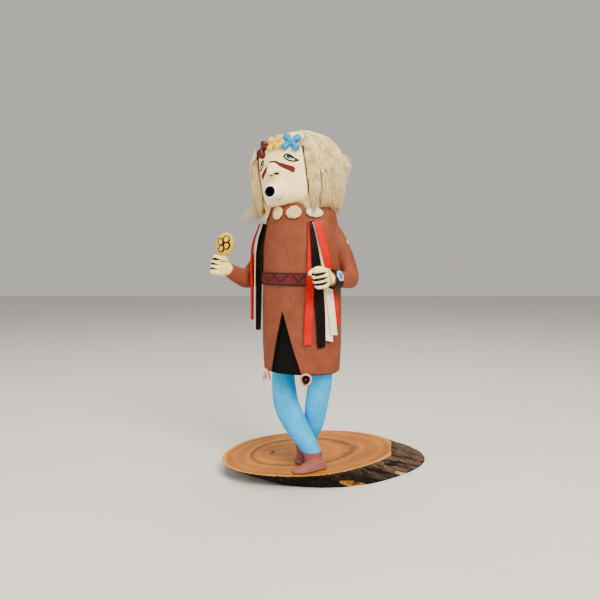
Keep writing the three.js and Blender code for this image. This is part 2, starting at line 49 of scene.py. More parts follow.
HEAD_TURN = Matrix.Rotation(math.radians(-4), 4, "Z")
HEAD = FIGURE @ Matrix.Translation((-1.4, -2.1, 240)) @ HEAD_TURN @ HEAD_TILT

SLAB_THICK = 11.8
SLAB_LONG, SLAB_SHORT, SLAB_TURN = 88, 67, math.radians(32)
SLAB_LEAN = Vector((-30, -6, 0))
PITH = Vector((-64, -11, 0))

SOLE_Z = SLAB_THICK + GAP
CUFF_Z = 26
HEM_Z = 98
SLIT_TOP_Z = 151
BELT_LOW, BELT_HIGH = 173.4, 184
BELT_PROUD = 0.9
BELT_RUN = 33.2
COLLAR_Z = 234
NECK_Z = 243
TUNIC_HALF = (36.5, 29.2)
TUNIC_Z = [HEM_Z, 122, 150, BELT_HIGH, 205, 222, COLLAR_Z, NECK_Z]
TUNIC_SHARE = [0.965, 1.0, 1.0, 0.985, 0.975, 0.94, 0.86, 0.76]

HEAD_HALF = 30
HEAD_DEEP = 0.97
HEAD_HIGH = 59
MASK_EDGE = math.radians(54)
MOUTH_Z, MOUTH_REACH, MOUTH_RIM, MOUTH_BORE = 12.5, 39.5, 5.3, 3.9
MOUTH_SIDE, MOUTH_OVAL = 0.9, 1.12

RIBBON_WIDE, RIBBON_THICK = 6.8, 0.36
LAYER = 0.4 + GAP + 0.18
RIBBON_OFF = GAP + BELT_PROUD + 0.75

WIG_BACK, WIG_DEEP = 3, 0.95
HAIR_STEPS = 7
NO_MARK = 9.0

RNG = np.random.default_rng(7)


# ---- mesh helpers ----------------------------------------------------------
def spline(keys, shares):
    """Points on a smooth curve through the keys, each key the same share along."""
    keys = np.asarray(keys, float)
    spans = len(keys) - 1
    line = np.vstack([2 * keys[0] - keys[1], keys, 2 * keys[-1] - keys[-2]])
    found = []
    for share in shares:
        i = min(int(share * spans), spans - 1)
        w = share * spans - i
        p0, p1, p2, p3 = line[i : i + 4]
        d0, d1, d2 = (max(np.linalg.norm(b - a), 1e-4) ** 0.5 for a, b in ((p0, p1), (p1, p2), (p2, p3)))
        m1 = ((p1 - p0) / d0 - (p2 - p0) / (d0 + d1) + (p2 - p1) / d1) * d1
        m2 = ((p2 - p1) / d1 - (p3 - p1) / (d1 + d2) + (p3 - p2) / d2) * d1
        bend = (-3 * p1 + 3 * p2 - 2 * m1 - m2) * w**2 + (2 * p1 - 2 * p2 + m1 + m2) * w**3
        found.append(p1 + m1 * w + bend)
    return np.array(found)


def tube(sides, rows, caps=True):
    """A plain tube one unit across and high, its wall cut into rows."""
    bm = bmesh.new()
    bmesh.ops.create_cone(bm, cap_ends=caps, segments=sides, radius1=1, radius2=1, depth=1)
    upright = [e for e in bm.edges if abs(e.verts[0].co.z - e.verts[1].co.z) > 0.5]
    bmesh.ops.subdivide_edges(bm, edges=upright, cuts=rows - 1, use_grid_fill=True)
    return bm


def limb(keys, sides=24, rows=40, side=(1, 0, 0), caps=True):
    """A rounded limb: oval sections through keys of [x, y, z, half across, half deep]."""
    keys = np.asarray(keys, float)
    shares = np.linspace(0, 1, rows + 1)
    path = spline(keys[:, :3], shares)
    size = spline(np.c_[keys[:, 3:5], np.zeros(len(keys))], shares)
    along = np.gradient(path, axis=0)
    along /= np.linalg.norm(along, axis=1)[:, None]
    across = np.array(side, float) - along * (along @ np.array(side, float))[:, None]
    across /= np.linalg.norm(across, axis=1)[:, None]
    deep = np.cross(along, across)
    bm = tube(sides, rows, caps)
    for v in bm.verts:
        i = round((v.co.z + 0.5) * rows)
        out = across[i] * v.co.x * size[i][0] + deep[i] * v.co.y * size[i][1]
        v.co = Vector(path[i] + out)
    return bm


def blob(center, half, turn=ROW, wide=32, high=20):
    """A turned oval ball, half as wide, deep and high as given."""
    bm = bmesh.new()
    bmesh.ops.create_uvsphere(bm, u_segments=wide, v_segments=high, radius=1)
    place = Matrix.Translation(center) @ turn @ Matrix.Diagonal((*half, 1))
    bmesh.ops.transform(bm, matrix=place, verts=bm.verts)
    return bm


def lathe(profile, steps):
    """A closed turned shape from [radius, height] points, from one pole to the other."""
    bm = bmesh.new()
    verts = [bm.verts.new((r, 0, z)) for r, z in profile]
    edges = [bm.edges.new(pair) for pair in zip(verts[:-1], verts[1:])]
    spun = {"cent": (0, 0, 0), "axis": (0, 0, 1), "dvec": (0, 0, 0), "angle": math.tau}
    bmesh.ops.spin(bm, geom=verts + edges, steps=steps, use_merge=True, **spun)
    bmesh.ops.remove_doubles(bm, verts=bm.verts, dist=1e-5)
    return bm


def pushed(outline, way):
    """A flat outline pushed out into a block, to cut with."""
    bm = bmesh.new()
    face = bmesh.ops.contextual_create(bm, geom=[bm.verts.new(p) for p in outline])["faces"]
    pulled = bmesh.ops.extrude_face_region(bm, geom=face)["geom"]
    ends = [g for g in pulled if isinstance(g, bmesh.types.BMVert)]
    bmesh.ops.translate(bm, vec=way, verts=ends)
    return bm


def gathered(*parts):
    """Several shapes in one mesh."""
    whole = bmesh.new()
    for part in parts:
        held = bpy.data.meshes.new("held")
        part.to_mesh(held)
        part.free()
        whole.from_mesh(held)
        bpy.data.meshes.remove(held)
    return whole


def axes(x, z):
    """The turn that carries X to x and Z to z, as near as they allow."""
    x = Vector(x).normalized()
    z = (Vector(z) - x * x.dot(Vector(z))).normalized()
    return Matrix((x, z.cross(x), z)).transposed().to_4x4()


def make(name, bm, place, material, sharp=None):
    """Puts a finished shape, drawn in mm in its own frame, into the scene in metres."""
    bmesh.ops.recalc_face_normals(bm, faces=bm.faces)
    bmesh.ops.transform(bm, matrix=TO_METRES @ place, verts=bm.verts)
    mesh = bpy.data.meshes.new(name)
    bm.to_mesh(mesh)
    bm.free()
    mesh.materials.append(material)
    mesh.shade_smooth()
    if sharp:
        mesh.set_sharp_from_angle(angle=math.radians(sharp))
    piece = bpy.data.objects.new(name, mesh)
    bpy.context.scene.collection.objects.link(piece)
    return piece


def fuse(piece, voxel, rounds, *cutters):
    """Joins a piece's overlapping shells into one skin and softens it, as carving does."""
    steps = [("REMESH", {"voxel_size": voxel * MM})]
    for tool in cutters:
        steps += [("BOOLEAN", {"operation": "DIFFERENCE", "object": tool, "solver": "EXACT"})]
    steps += [("REMESH", {"voxel_size": voxel * MM})] if cutters else []
    steps += [("SMOOTH", {"factor": 0.5, "iterations": rounds})]
    for kind, settings in steps:
        step = piece.modifiers.new(kind, kind)
        for key, value in settings.items():
            setattr(step, key, value)
    seen = piece.evaluated_get(bpy.context.evaluated_depsgraph_get())
    skin = bpy.data.meshes.new_from_object(seen)
    piece.modifiers.clear()
    piece.data = skin
    skin.shade_smooth()
    for tool in cutters:
        bpy.data.objects.remove(tool)
    return piece


def points(piece, place):
    """A piece's points in mm, in the figure's or the head's own frame."""
    flat = np.empty(len(piece.data.vertices) * 3, np.float32)
    piece.data.vertices.foreach_get("co", flat)
    back = np.array((TO_METRES @ place).inverted())
    return flat.reshape(-1, 3) @ back[:3, :3].T + back[:3, 3]


def mark(piece, name, values):
    """Stores a number at each point; below zero is inside a painted mark."""
    layer = piece.data.attributes.new(name, "FLOAT", "POINT")
    layer.data.foreach_set("value", np.asarray(values, np.float32).ravel())


def to_line(uv, line):
    """Distance in mm from each point to a drawn line."""
    best = np.full(len(uv), 1e9)
    for a, b in zip(line[:-1], line[1:]):
        a, b = np.array(a, float), np.array(b, float)
        t = np.clip(((uv - a) @ (b - a)) / max((b - a) @ (b - a), 1e-9), 0, 1)
        best = np.minimum(best, np.linalg.norm(uv - a - t[:, None] * (b - a), axis=1))
    return best


def to_patch(uv, outline):
    """Signed distance in mm to a closed painted shape, below zero inside."""
    loop = list(outline) + [outline[0]]
    inside = np.zeros(len(uv), bool)
    for (x0, y0), (x1, y1) in zip(loop[:-1], loop[1:]):
        crosses = (y0 > uv[:, 1]) != (y1 > uv[:, 1])
        at = x0 + (uv[:, 1] - y0) * (x1 - x0) / ((y1 - y0) or 1e-9)
        inside ^= crosses & (uv[:, 0] < at)
    return np.where(inside, -1, 1) * to_line(uv, loop)


def oval(cx, cy, rx, ry, turn):
    """The outline of a turned oval."""
    c, s = math.cos(turn), math.sin(turn)
    ring = [(rx * math.cos(math.tau * i / 28), ry * math.sin(math.tau * i / 28)) for i in range(28)]
    return [(cx + x * c - y * s, cy + x * s + y * c) for x, y in ring]


# ---- material helpers ------------------------------------------------------
def hue(code):
    """An sRGB hex colour as linear red, green, blue and alpha."""
    parts = [int(code[i : i + 2], 16) / 255 for i in (0, 2, 4)]
    return (*[c / 12.92 if c <= 0.04045 else ((c + 0.055) / 1.055) ** 2.4 for c in parts], 1.0)


def add(tree, kind, inputs=None, out=0, **settings):
    """Adds a node, sets it and links it, and gives its output."""
    made = tree.nodes.new("ShaderNode" + kind)
    for key, value in settings.items():
        setattr(made, key, value)
    for key, value in (inputs or {}).items():
        if isinstance(value, bpy.types.NodeSocket):
            tree.links.new(value, made.inputs[key])
        else:
            made.inputs[key].default_value = value
    return made.outputs[out]


def finish(name, **shader):
    """A new material whose surface starts from the given shader values."""
    material = bpy.data.materials.new(name)
    material.use_nodes = True
    tree = material.node_tree
    surface = tree.nodes["Principled BSDF"]
    for key, value in shader.items():
        surface.inputs[key.replace("_", " ").title().replace("Ior", "IOR")].default_value = value
    return material, tree, surface


def per_mm(size):
    """A noise scale whose features are this many mm across, on coordinates in metres."""
    return 1000 / size


def layered(tree, color, layers):
    """Lays colours over a colour, each as its pattern runs from one value to another."""
    for pattern, start, full, most, code in layers:
        share = add(tree, "MapRange", {0: pattern, 1: start, 2: full, 4: most})
        color = add(tree, "Mix", {0: share, 6: color, 7: hue(code)}, out=2, data_type="RGBA")
    return color


def dressed(material, tree, surface, color, relief=()):
    """Gives a surface its colour, and patterns that stand up by a depth in mm and a strength."""
    under = {}
    for pattern, depth, strength in relief:
        bump = {"Height": pattern, "Distance": depth * MM, "Strength": strength}
        under = {"Normal": add(tree, "Bump", {**bump, **under})}
    for socket, value in {"Base Color": color, **under}.items():
        tree.links.new(value, surface.inputs[socket])
    return material


def painted(name, base, deep, pale, roughness, marks=(), coat=0.0, grain=0.12, wobble=0.25, gleam=0.25):
    """Brushed acrylic over carved cottonwood root: matt, with grain and tool marks under it."""
    shine = {"coat_weight": coat, "coat_roughness": 0.25, "specular_ior_level": gleam}
    material, tree, surface = finish(name, roughness=roughness, **shine)
    place = add(tree, "TexCoord", out="Object")
    upright = add(tree, "Mapping", {"Vector": place, "Scale": (1, 1, 0.09)})
    # wood grain 1.3 mm apart, coarser than real grain so that it shows
    streak, patch, speck = (
        add(tree, "TexNoise", {0: at, "Scale": per_mm(size), "Detail": detail, "Roughness": 0.6})
        for at, size, detail in ((upright, 1.3, 4), (place, 13, 3), (place, 0.7, 2))
    )
    washes = [(patch, 0.35, 0.68, 1, deep), (streak, 0.56, 0.76, 0.55, pale)]
    washes += [(streak, 0.42, 0.3, 0.45, deep)]
    color = layered(tree, hue(base), washes)
    ragged = add(tree, "MapRange", {0: speck, 3: -wobble, 4: wobble})
    for attribute, code in marks:
        edge = add(tree, "Attribute", out="Fac", attribute_name=attribute)
        shifted = add(tree, "Math", {0: edge, 1: ragged}, operation="ADD")
        color = layered(tree, color, [(shifted, 0.12, -0.12, 1, code)])
    worn = {0: patch, 1: 0.3, 2: 0.7, 3: roughness - 0.06, 4: roughness + 0.08}
    tree.links.new(add(tree, "MapRange", worn), surface.inputs["Roughness"])
    return dressed(material, tree, surface, color, [(patch, 0.7, 0.5), (streak, grain, 0.7)])


def satin(name, base, shade, shine, gleam=0.4):
    """Satin ribbon: fine weft ribs across it give a soft broad sheen."""
    cloth = {"sheen_weight": 0.25 * gleam, "sheen_roughness": 0.4, "specular_ior_level": gleam}
    material, tree, surface = finish(name, roughness=0.42, **cloth)
    place = add(tree, "UVMap", uv_map="strip")
    across = add(tree, "SeparateXYZ", {0: place})
    # ribs 0.9 mm apart and threads 0.4 mm wide, coarser than real satin so that they show
    ribs = {"Vector": place, "Scale": per_mm(0.9) / 20 * 3.1, "Distortion": 0.4}
    weft = add(tree, "TexWave", ribs, bands_direction="Y")
    fold, thread = (
        add(tree, "TexNoise", {0: at, "Scale": per_mm(size), "Detail": detail, "Roughness": 0.6})
        for at, size, detail in (
            (add(tree, "Mapping", {"Vector": place, "Scale": (0.5, 1, 1)}), 16, 2),
            (add(tree, "Mapping", {"Vector": place, "Scale": (6, 0.4, 1)}), 2.2, 3),
        )
    )
    off = add(tree, "Math", {0: across}, operation="ABSOLUTE")
    rim = add(tree, "MapRange", {0: off, 1: 0.00295, 2: 0.0032})
    layers = [(fold, 0.35, 0.7, 1, shine), (thread, 0.6, 0.4, 0.6, shade), (rim, 0, 1, 0.5, shade)]
    relief = [(fold, 1.2, 0.6), (weft, 0.08, 0.5), (rim, 0.15, 0.6)]
    return dressed(material, tree, surface, layered(tree, hue(base), layers), relief)


def glossed(name, base, deep, roughness=0.22):
    """Thick hobby enamel: rounded, glossy and a little uneven."""
    shine = {"coat_weight": 0.08, "coat_roughness": 0.12, "specular_ior_level": 0.2}
    material, tree, surface = finish(name, roughness=roughness, **shine)
    place = add(tree, "TexCoord", out="Object")
    patch, fine = (
        add(tree, "TexNoise", {0: place, "Scale": per_mm(size), "Detail": detail, "Roughness": 0.6})
        for size, detail in ((3.5, 3), (0.8, 2))
    )
    color = layered(tree, hue(base), [(patch, 0.35, 0.7, 1, deep)])
    return dressed(material, tree, surface, color, [(patch, 0.5, 0.6), (fine, 0.06, 0.5)])


def hide(name, base, worn, roughness):
    """Dyed leather: fine pebbled grain, paler where it is rubbed."""
    material, tree, surface = finish(name, roughness=roughness, specular_ior_level=0.2)
    place = add(tree, "TexCoord", out="Object")
    # pebbles 0.9 mm across, coarser than real grain so that they show
    grain = add(tree, "TexVoronoi", {"Vector": place, "Scale": per_mm(0.9)})
    patch = add(tree, "TexNoise", {0: place, "Scale": per_mm(5), "Detail": 3, "Roughness": 0.6})
    color = layered(tree, hue(base), [(patch, 0.45, 0.75, 1, worn)])
    return dressed(material, tree, surface, color, [(grain, 0.12, 0.5)])


def pearly(name, base, band, tint):
    """Small sea shell: chalky cream with growth lines, a pearly tint where it is worn."""
    material, tree, surface = finish(name, roughness=0.36, coat_weight=0.25, coat_roughness=0.2)
    place = add(tree, "TexCoord", out="Object")
    grown = add(tree, "Attribute", out="Fac", attribute_name="growth")
    patch = add(tree, "TexNoise", {0: place, "Scale": per_mm(2.6), "Detail": 3, "Roughness": 0.6})
    shift = add(tree, "MapRange", {0: patch, 3: -0.12, 4: 0.12})
    wavy = add(tree, "Math", {0: grown, 1: shift}, operation="ADD")
    turns = add(tree, "Math", {0: wavy, 1: 34.0}, operation="MULTIPLY")
    lines = add(tree, "Math", {0: turns}, operation="SINE")
    color = layered(tree, hue(base), [(lines, 0, 1, 0.55, band), (patch, 0.5, 0.72, 0.75, tint)])
    return dressed(material, tree, surface, color, [(lines, 0.3, 0.7)])


def furred():
    """Sheared rabbit fur: soft ivory hairs, dense at the skin and pale at the tips, with painted shade
    darkening them at the skin and lower down.
    """
    material, tree, surface = finish("ivory_fur", roughness=0.62, sheen_weight=0.3, sheen_roughness=0.5)
    place = add(tree, "TexCoord", out="Object")
    along = add(tree, "Attribute", out="Fac", attribute_name="along")
    tone = add(tree, "Attribute", out="Fac", attribute_name="tone")
    patch = add(tree, "TexNoise", {0: place, "Scale": per_mm(9), "Detail": 3, "Roughness": 0.6})
    height = add(tree, "SeparateXYZ", {0: place}, out=2)
    layers = [(tone, 0, 1, 1, "F2D88C"), (patch, 0.45, 0.66, 0.7, "DABC74")]
    # painted shade: hairs near the skin and the lower hairs are darkened where shade falls in the pile
    layers += [(height, 0.268, 0.236, 0.5, "B88E4C"), (along, 0.55, 0, 0.7, "8E6A38")]
    return dressed(material, tree, surface, layered(tree, hue("FFFACC"), layers))


def varnished_slice():
    """Varnished end grain: honey wood with growth rings, a dark inner ring and a split pith."""
    varnish = {"coat_weight": 0.15, "coat_roughness": 0.2, "specular_ior_level": 0.25}
    material, tree, surface = finish("varnished_end_grain", roughness=0.42, **varnish)
    place = add(tree, "TexCoord", out="Object")
    drift = add(tree, "Attribute", out="Fac", attribute_name="ring")
    dark = add(tree, "Attribute", out="Fac", attribute_name="pith")
    broad, fine, pores = (
        add(tree, "TexNoise", {0: place, "Scale": per_mm(size), "Detail": detail, "Roughness": 0.6})
        for size, detail in ((26, 4), (5, 5), (0.8, 2))
    )
    for pattern, most in ((broad, 0.07), (fine, 0.012)):
        shift = add(tree, "MapRange", {0: pattern, 3: -most, 4: most})
        drift = add(tree, "Math", {0: shift, 1: drift}, operation="ADD")
    waves = []
    for tight in (118.0, 31.0):
        turns = add(tree, "Math", {0: drift, 1: tight}, operation="MULTIPLY")
        waves.append(add(tree, "Math", {0: turns}, operation="SINE"))
    inner = add(tree, "Math", {0: drift, 1: 0.585}, operation="SUBTRACT")
    inner = add(tree, "Math", {0: inner}, operation="ABSOLUTE")
    inner = add(tree, "MapRange", {0: inner, 1: 0.05, 2: 0.006, 4: 0.9})
    broken = add(tree, "MapRange", {0: fine, 1: 0.3, 2: 0.6, 3: 0.35})
    band = add(tree, "Math", {0: inner, 1: broken}, operation="MULTIPLY")
    layers = [(broad, 0.35, 0.65, 1, "8C5006"), (waves[1], 0.1, 1, 0.22, "D09A20")]
    layers += [(waves[0], 0.1, 1, 0.22, "8C4E0A"), (fine, 0.52, 0.75, 0.5, "7E420A")]
    layers += [(band, 0, 1, 1, "4A2206"), (drift, 0.955, 0.985, 0.65, "DC9A2C")]
    layers += [(dark, 0.35, -0.25, 1, "1E0C04")]
    relief = [(waves[0], 0.08, 0.4), (pores, 0.08, 0.35)]
    return dressed(material, tree, surface, layered(tree, hue("AC680A"), layers), relief)


def barked():
    """Dry branch bark: grey-brown plates over near-black furrows, raw orange wood where it broke, and
    painted shade over its front.
    """
    material, tree, surface = finish("dry_bark", roughness=0.9, specular_ior_level=0.15)
    place = add(tree, "TexCoord", out="Object")
    depth, raw, chip, shade = (
        add(tree, "Attribute", out="Fac", attribute_name=held)
        for held in ("bark_depth", "raw", "chip", "front")
    )
    patch, fine, moss = (
        add(tree, "TexNoise", {0: place, "Scale": per_mm(size), "Detail": detail, "Roughness": rough})
        for size, detail, rough in ((9, 5, 0.7), (1.6, 5, 0.7), (6, 3, 0.6))
    )
    layers = [(patch, 0.38, 0.66, 1, "5E4A3E"), (fine, 0.5, 0.72, 0.7, "7E6A5E")]
    # painted shade: near-black over the front of the rim, deepest low down
    layers += [(shade, 0.1, 0.7, 0.96, "060402"), (moss, 0.62, 0.72, 0.5, "4E4420")]
    layers += [(depth, -0.1, -0.9, 1, "070403")]
    color = layered(tree, hue("2E201A"), layers)
    ragged = add(tree, "MapRange", {0: fine, 3: -0.9, 4: 0.9})
    for edge, code in ((raw, "C08840"), (chip, "C0A888")):
        shifted = add(tree, "Math", {0: edge, 1: ragged}, operation="ADD")
        share = add(tree, "MapRange", {0: shifted, 1: 0.3, 2: -0.3})
        bare = layered(tree, hue(code), [(patch, 0.4, 0.62, 1, "5A2A0C")])
        color = add(tree, "Mix", {0: share, 6: color, 7: bare}, out=2, data_type="RGBA")
    return dressed(material, tree, surface, color, [(patch, 1.6, 0.8), (fine, 0.5, 0.8)])


def sawn():
    """Dry sawn underside: pale wood with straight saw marks."""
    material, tree, surface = finish("sawn_wood", roughness=0.8)
    place = add(tree, "TexCoord", out="Object")
    cut = add(tree, "Mapping", {"Vector": place, "Scale": (1, 0.06, 1)})
    marks = add(tree, "TexNoise", {0: cut, "Scale": per_mm(1.8), "Detail": 4, "Roughness": 0.6})
    color = layered(tree, hue("C9A271"), [(marks, 0.35, 0.65, 1, "9E7747")])
    return dressed(material, tree, surface, color, [(marks, 0.15, 0.6)])


# ---- camera, light and floor -----------------------------------------------
def set_camera():
    """A camera just above the height of the belt, looking slightly down."""
    lens = bpy.data.cameras.new("camera")
    lens.lens = 39.6
    lens.sensor_width = 36
    lens.clip_start = 0.02
    camera = bpy.data.objects.new("camera", lens)
    stand = Matrix.Translation((-0.03947, -0.62722, 0.2))
    camera.matrix_world = stand @ Matrix.Rotation(math.radians(86), 4, "X")
    bpy.context.scene.collection.objects.link(camera)
    bpy.context.scene.camera = camera


def softbox(name, place, size, watts, tint):
    """A soft square lamp that faces the figure."""
    lamp = bpy.data.lights.new(name, "AREA")
    lamp.shape = "RECTANGLE"
    lamp.size, lamp.size_y = size
    lamp.energy = watts
    lamp.color = hue(tint)[:3]
    light = bpy.data.objects.new(name, lamp)
    aim = Vector((-0.03, -0.04, 0.14)) - Vector(place)
    light.matrix_world = Matrix.Translation(place) @ aim.to_track_quat("-Z", "Y").to_matrix().to_4x4()
    bpy.context.scene.collection.objects.link(light)


def set_studio():
    """Three softboxes, a pale surround and a pale floor."""
    softbox("key", (0.42, -0.98, 0.95), (0.6, 0.6), 33, "FFEFD8")
    softbox("fill", (-0.95, -0.6, 0.5), (0.8, 0.8), 8, "FFF1E0")
    softbox("top", (-0.05, 0.15, 1.15), (0.9, 0.9), 13, "FFF3E2")
    world = bpy.data.worlds.new("studio")
    world.use_nodes = True
    world.node_tree.nodes["Background"].inputs["Color"].default_value = hue("F3EEE6")
    world.node_tree.nodes["Background"].inputs["Strength"].default_value = 0.6
    bpy.context.scene.world = world
    material, tree, surface = finish("pale_floor", roughness=0.75)
    place = add(tree, "TexCoord", out="Object")
    dust = add(tree, "TexNoise", {0: place, "Scale": per_mm(60), "Detail": 2, "Roughness": 0.6})
    dressed(material, tree, surface, layered(tree, hue("C9C8C7"), [(dust, 0, 1, 1, "CFCECD")]))
    bm = bmesh.new()
    bmesh.ops.create_grid(bm, x_segments=8, y_segments=8, size=2500)
    floor = make("floor", bm, ROW, material)
    for p in floor.data.polygons:
        if p.normal.z < 0:
            p.flip()


# ---- tunic surface ---------------------------------------------------------
def on_tunic(angle, z, off=0.0):
    """A point on the tunic, an angle round from its front, and the way out of it there."""
    share = np.interp(z, TUNIC_Z, TUNIC_SHARE)
    a, b = TUNIC_HALF[0] * share, TUNIC_HALF[1] * share
    r = 1 / math.hypot(math.sin(angle) / a, math.cos(angle) / b)
    at = Vector((r * math.sin(angle), -r * math.cos(angle), z))
    out = Vector((at.x / a**2, at.y / b**2, 0)).normalized()
    return at + out * off, out


# ---- ribbons ---------------------------------------------------------------
def lying(angle, z, layer):
    """A place on the tunic for a ribbon, so many layers up, angle in degrees."""
    return on_tunic(math.radians(angle), z, RIBBON_OFF + layer * LAYER)


def draped(keys, rows):
    """A ribbon lying down the tunic through [angle, height, layer]."""
    return [lying(*p) for p in spline(keys, np.linspace(0, 1, rows + 1))]


def hung(top, keys, rows):
    """A ribbon hanging free from the shoulder through [x, y, z, facing]."""
    at, out = lying(*top)
    places, facings = [at], []
    for x, y, z, facing in keys:
        a = math.radians(facing)
        places.append(Vector((x, y, z)))
        facings.append(Vector((math.sin(a), -math.cos(a), 0)))
    facings = [out.lerp(facings[0], 0.7).normalized()] + facings
    shares = np.linspace(0, 1, rows + 1)
    path = spline(places, shares)
    spans = len(keys)
    turned = []
    for share in shares:
        i = min(int(share * spans), spans - 1)
        turned.append(facings[i].lerp(facings[i + 1], share * spans - i))
    return [(Vector(p), f) for p, f in zip(path, turned)]


def strip(stations, wide, thick, cells=6, curl=0.0, end=0.0):
    """A flat woven strip along stations of (place, way out), with its own woven coordinates."""
    rows = len(stations) - 1
    path = np.array([s[0] for s in stations])
    steps = np.linalg.norm(np.diff(path, axis=0), axis=1)
    run = np.concatenate([[0], np.cumsum(steps)])
    bm = bmesh.new()
    bmesh.ops.create_cube(bm, size=1)
    for axis, cuts in ((2, rows - 1), (0, cells - 1)):
        cut = [e for e in bm.edges if abs(e.verts[0].co[axis] - e.verts[1].co[axis]) > 0.5]
        bmesh.ops.subdivide_edges(bm, edges=cut, cuts=cuts, use_grid_fill=True)
    layer = bm.loops.layers.uv.new("strip")
    for face in bm.faces:
        for loop in face.loops:
            i = round((0.5 - loop.vert.co.z) * rows)
            loop[layer].uv = (loop.vert.co.x * wide * MM, run[i] * MM)
    for v in bm.verts:
        i = round((0.5 - v.co.z) * rows)
        ahead, behind = path[min(i + 1, rows)], path[max(i - 1, 0)]
        along = Vector(ahead - behind).normalized()
        out = (stations[i][1] - along * along.dot(stations[i][1])).normalized()
        across = out.cross(along)
        lift = curl * (4 * v.co.x**2 - 0.4) - v.co.y * thick
        slant = end * v.co.x * (i / rows) ** 12
        v.co = Vector(path[i]) + across * v.co.x * wide + out * lift + along * slant
    return bm, path, run[-1]


RIBBONS = [
    ("left_ribbon_red", "red", "draped", [
        (48.5, 227.5, 0), (47.2, 205, 0), (45.3, 180, 0), (43.5, 160, 0), (41.6, 124, 0),
    ]),
    ("left_ribbon_black", "black", "draped", [
        (49.9, 227.3, 1), (51.5, 207, 1), (53, 186, 1), (56.5, 161, 0.5), (60.2, 121.5, 0),
    ]),
    ("left_ribbon_white_long", "white", "draped", [
        (54.5, 226.8, 2), (59.4, 210, 1.8), (64.2, 190, 1.7), (68.5, 161, 1.2), (70.2, 127, 1),
    ]),
    ("left_ribbon_white_short", "white", "draped", [
        (56, 226.5, 3), (59.8, 211, 2.8), (64, 193, 2.8),
        (67.8, 175, 2.7), (71.5, 155, 2.4), (76.2, 132, 2.1),
    ]),
    ("left_ribbon_side_red", "red", "draped", [
        (55, 227.5, 4.1), (60, 211, 4), (66.4, 193, 3.7), (73, 174, 1.2), (78, 158, 1), (83.6, 140, 1),
    ]),
    ("left_ribbon_side_black", "black", "draped", [
        (55, 225, 0), (61, 206, 0), (68.5, 188, 0), (75.5, 161, 0), (79.5, 133, 0),
    ]),
    ("right_ribbon_black", "black", (-54, 226, 0), [
        (-31.7, -18.2, 205, -3), (-33.5, -17.2, 175, -4), (-34, -17.9, 132.6, -16),
    ]),
    ("right_ribbon_white", "white", (-57, 227, 1.6), [
        (-34.9, -19, 208, -57), (-36.5, -19.2, 175, -58), (-36.5, -19.8, 133, -60),
    ]),
    ("right_ribbon_red", "red", (-64, 226.5, 3.6), [
        (-39.8, -17.6, 207, -72), (-40.2, -18.2, 175, -78), (-40.4, -18.2, 141.5, -76),
    ]),
]


def sew_ribbons():
    """Nine limp satin ribbons."""
    dyes = {
        "red": satin("red_satin", "BC0400", "8C0200", "D40800", 0.1),
        "black": satin("black_satin", "040202", "010101", "0A0605", 0.1),
        "white": satin("white_satin", "F0E8CC", "C8BC9A", "FBF6E4"),
    }
    rows = 64
    for name, dye, top, keys in RIBBONS:
        stations = draped(keys, rows) if top == "draped" else hung(top, keys, rows)
        end = 1.6 if dye == "white" else -0.7
        bm, path, length = strip(stations, RIBBON_WIDE, RIBBON_THICK, curl=0.16, end=end)
        piece = make(name + "_satin", bm, FIGURE, dyes[dye], sharp=50)
        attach(piece, "root")
        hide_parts(name)


# ---- slab ------------------------------------------------------------------
def slab_edge(angle):
    """How far the slab's wavy edge is from its middle at an angle."""
    a = angle - SLAB_TURN
    edge = 1 / math.hypot(math.cos(a) / SLAB_LONG, math.sin(a) / SLAB_SHORT)
    return edge * (1 + 0.012 * math.sin(3 * angle + 0.6) + 0.008 * math.sin(5 * angle + 2.1))


def bark_relief(angle, up):
    """How far bark stands out of its even line, in mm, at an angle and height share."""
    run = angle * 75
    plates = noise.fractal(Vector((run / 13, up * 1.1, 3)), 0.6, 2.1, 5)
    furrow = 1 - abs(noise.noise(Vector((run / 9, up * 1.4, 11)))) * 7
    ridge = noise.fractal(Vector((run / 2.6, up * 3.4, 27)), 0.7, 2.0, 3)
    return 1.1 * plates - 1.3 * max(furrow, 0) ** 2 + 0.4 * ridge


